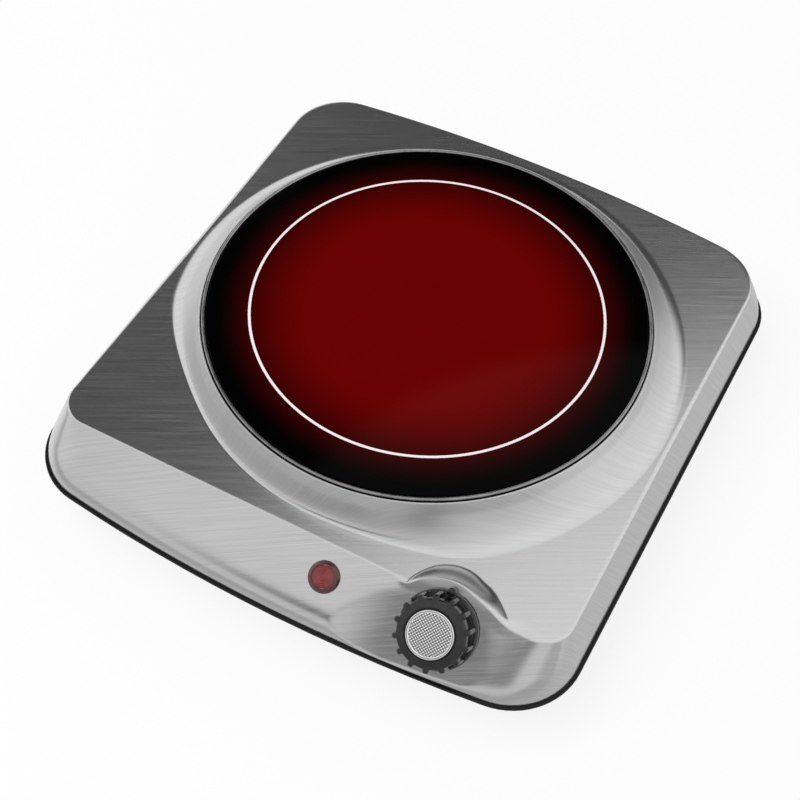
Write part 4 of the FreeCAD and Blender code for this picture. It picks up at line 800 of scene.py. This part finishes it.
lamp_origin, lamp_axis = panel_place(lamp_x)
lamp_turn = axis_frame(lamp_axis)
bezel_radius = 0.0063
lens_radius = 0.0044
lamp_height = 0.0021
shank_radius = 0.0054
shank_end = -0.0060
bezel_seat = 0.00005
bezel_face = lamp_height - 0.0002
bezel_profile = rounded([
    (lens_radius, shank_end),
    (shank_radius, shank_end),
    (shank_radius, bezel_seat),
    (bezel_radius, bezel_seat),
    (bezel_radius, 0.0007),
    (lens_radius + 0.0006, bezel_face),
    (lens_radius, bezel_face),
    (lens_radius, shank_end),
], (0.0001, 0.0001, 0.0001, 0.0006, 0.0003, 0.0001), steps=5)
bezel_mesh = lathe("lamp_bezel_ring", bezel_profile, lamp_origin, lamp_turn, 96)
lens_edge = lens_radius - 0.0001
lens_back = -0.0010
lens_rows = np.linspace(0, lens_edge, 90)
ring_pitch = 0.00075
ring_depth = 0.00012
lens_face = lamp_height - 0.0004 + ring_depth * np.cos(2 * np.pi * lens_rows / ring_pitch)
lens_profile = np.concatenate([
    np.column_stack([lens_rows, lens_face]),
    [(lens_edge, lens_back), (0.0, lens_back)],
])
lens_mesh = lathe("ringed_lens", lens_profile, lamp_origin, lamp_turn, 96)
lens_red = stock_finish("lens_red", (0.16, 0.020, 0.018), (0.22, 0.032, 0.028), 400, (0.10, 0.16),
                        fixed={"Coat Weight": 0.4})
bezel_red = stock_finish("bezel_red", (0.050, 0.014, 0.013), (0.075, 0.020, 0.018), 300, (0.12, 0.20),
                         fixed={"Coat Weight": 0.5})
place("lamp_bezel_ring", bezel_mesh, bezel_red, "housing", "lamp_black", "lamp_bezel")
place("ringed_lens", lens_mesh, lens_red, "housing", "lamp_red", "lamp_lens")
neon_glass = stock_finish("neon_glass", (0.80, 0.74, 0.70), (0.90, 0.86, 0.82), 200, (0.05, 0.10))
paint(neon_glass, "neon_bulb")


# Inlet grommet. A ring of soft black rubber, moulded with a groove round it. It snaps into a hole in the
# cover's back wall.

inlet_low, inlet_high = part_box("inlet_grommet")
inlet_centre = np.array((inlet_low + inlet_high) / 2)
inlet_axis = np.array([0, panel_drop, side_draft]) / np.hypot(panel_drop, side_draft)
bore_radius = 0.0034
groove_radius = 0.0045
barb_radius = 0.0052
flange_radius = 0.0054
grommet_half = 0.0021
grommet_profile = rounded([
    (bore_radius, -grommet_half),
    (barb_radius, -grommet_half),
    (barb_radius, -0.0007),
    (groove_radius, -0.0007),
    (groove_radius, 0.0006),
    (flange_radius, 0.0006),
    (0.0048, 0.0018),
    (bore_radius, grommet_half),
    (bore_radius, -grommet_half),
], (0.0004, 0.0004, 0.0001, 0.0001, 0.0003, 0.0007, 0.0004), steps=5)
grommet_mesh = lathe("grommet_ring", grommet_profile, inlet_centre, axis_frame(inlet_axis), 72)
place("grommet_ring", grommet_mesh, seal_rubber, "housing", "foot_rubber", "inlet_grommet")


# Studio. A pale floor and a white surround, with a dark flag behind the plate and a small one in front that
# the steel mirrors, one broad soft lamp overhead, and the camera at the photograph's viewing angle.

scene = bpy.context.scene
scene.view_settings.view_transform = "Standard"

floor_half = 4.0
floor_mesh = bpy.data.meshes.new("studio_floor")
floor_corners = [(x * floor_half, y * floor_half, 0) for x, y in ((-1, -1), (1, -1), (1, 1), (-1, 1))]
floor_mesh.from_pydata(floor_corners, [], [(0, 1, 2, 3)])
floor = bpy.data.objects.new("studio_floor", floor_mesh)
scene.collection.objects.link(floor)
floor_paint = bpy.data.materials.new("floor_paint")
floor_paint.use_nodes = True
start = Signal(floor_paint.node_tree)
floor_paint.node_tree.nodes.clear()


def parts(vector):
    """The X, Y and Z of a vector."""
    return [vector.node("ShaderNodeSeparateXYZ", None, {"Vector": vector}, output=axis) for axis in "XYZ"]


shown = start.node("ShaderNodeLightPath", output="Is Camera Ray")
mirrored = start.node("ShaderNodeLightPath", output="Is Glossy Ray")
floor_east, floor_north, _ = parts(start.node("ShaderNodeTexCoord", output="Object"))
# Painted shadow: as the steel mirrors it, the floor is grey in front of the object and just to its right,
# where the object's shadow falls
right_shadow_share = stepped(floor_east, 0.02, 0.10) * (1 - stepped(floor_east, 0.22, 0.42))
floor_shadow_colour = mixed(right_shadow_share, (0.97, 0.97, 0.97), (0.66, 0.66, 0.66))
floor_shadow_colour = mixed(stepped(floor_north, -0.20, -0.08), (0.52, 0.52, 0.52), floor_shadow_colour)
pale = start.node("ShaderNodeBsdfDiffuse", None, {"Color": (0.86, 0.86, 0.86, 1)})
white = start.node("ShaderNodeEmission", None, {"Color": (1, 1, 1, 1), "Strength": 1.0})
floor_shadow_emission = start.node("ShaderNodeEmission", None, {"Color": floor_shadow_colour, "Strength": 1.0})
surface = start.node("ShaderNodeMixShader", None, {0: shown * 0.86, 1: pale, 2: white})
surface = start.node("ShaderNodeMixShader", None, {0: mirrored, 1: surface, 2: floor_shadow_emission})
start.node("ShaderNodeOutputMaterial", None, {"Surface": surface})
floor_mesh.materials.append(floor_paint)

world = bpy.data.worlds.new("studio_surround")
scene.world = world
world.use_nodes = True
tree = world.node_tree
tree.nodes.clear()
start = Signal(tree)
east, north, up = parts(start.node("ShaderNodeTexCoord", output="Generated"))

# The back flag: to_left is the turn to the left from straight back, and both its edges rise with that turn
to_left = (0 - east).math("ARCTAN2", north)
flag_right, flag_left = -0.27, 1.75
flag_low = 0.62 * stepped(to_left, 0.28, 0.68) + 0.14 * stepped(to_left, 1.05, 1.40)
flag_high = 0.20 * to_left.math("MINIMUM", 0.95)
back_flag = stepped(up - flag_low, -0.05, 0.09) * (1 - stepped(up - flag_high, 0.738, 0.760))
back_flag = back_flag * stepped(to_left, flag_right - 0.25, flag_right + 0.1)
back_flag = back_flag * (1 - stepped(to_left, flag_left - 0.1, flag_left + 0.15))

# The front flag, and a dim part low on the right: front_way is the turn to the right from straight in front
front_way = east.math("ARCTAN2", 0 - north)
front_flag = stepped(up, 0.36, 0.53) * (1 - stepped(up, 0.61, 0.69))
front_flag = front_flag * stepped(front_way, -0.55, -0.26) * (1 - stepped(front_way, -0.16, 0.26))
low_right = stepped(front_way, -0.3, 0.6) * (1 - stepped(front_way, 1.0, 1.6))
low_right = low_right * (1 - stepped(up, 0.12, 0.30))
surround = mixed(stepped(north, -0.9, 0.1), (0.74, 0.74, 0.74), (1.0, 1.0, 1.0))
surround = mixed(low_right, surround, (0.50, 0.50, 0.50))
surround = mixed(front_flag, surround, (0.20, 0.20, 0.20))
surround = mixed(back_flag, surround, (0.075, 0.075, 0.075))
camera_ray = start.node("ShaderNodeLightPath", output="Is Camera Ray")
mirrored = start.node("ShaderNodeLightPath", output="Is Glossy Ray")
mirrored = mirrored.math("MAXIMUM", start.node("ShaderNodeLightPath", output="Is Transmission Ray"))
lighting = mixed(mirrored, (0.55, 0.55, 0.55), surround)
shown = mixed(camera_ray, lighting, (1.0, 1.0, 1.0))
background = start.node("ShaderNodeBackground", None, {"Color": shown, "Strength": 1.0})
start.node("ShaderNodeOutputWorld", None, {"Surface": background})

overhead_at = Vector((-0.5, -0.7, 1.6))
overhead_aim = Vector((0, 0, 0.03))
light = bpy.data.lights.new("overhead_lamp", "AREA")
light.size = 1.4
light.energy = 22
overhead = bpy.data.objects.new("overhead_lamp", light)
scene.collection.objects.link(overhead)
overhead.location = overhead_at
overhead.rotation_euler = (overhead_aim - overhead_at).to_track_quat("-Z", "Y").to_euler()
overhead.visible_glossy = False

camera_at = Vector((0.170934, -0.360848, 0.554888))
camera_aim = Vector((0.011813, -0.038497, glass_top))
camera_roll = 2.4835
camera = bpy.data.cameras.new("photo_camera")
camera.sensor_width = 36
camera.lens = 70.488
camera.clip_start = 0.01
viewer = bpy.data.objects.new("photo_camera", camera)
scene.collection.objects.link(viewer)
look = (camera_aim - camera_at).to_track_quat("-Z", "Y").to_matrix()
look = look @ Matrix.Rotation(np.radians(camera_roll), 3, "Z")
viewer.matrix_world = Matrix.Translation(camera_at) @ look.to_4x4()
scene.camera = viewer
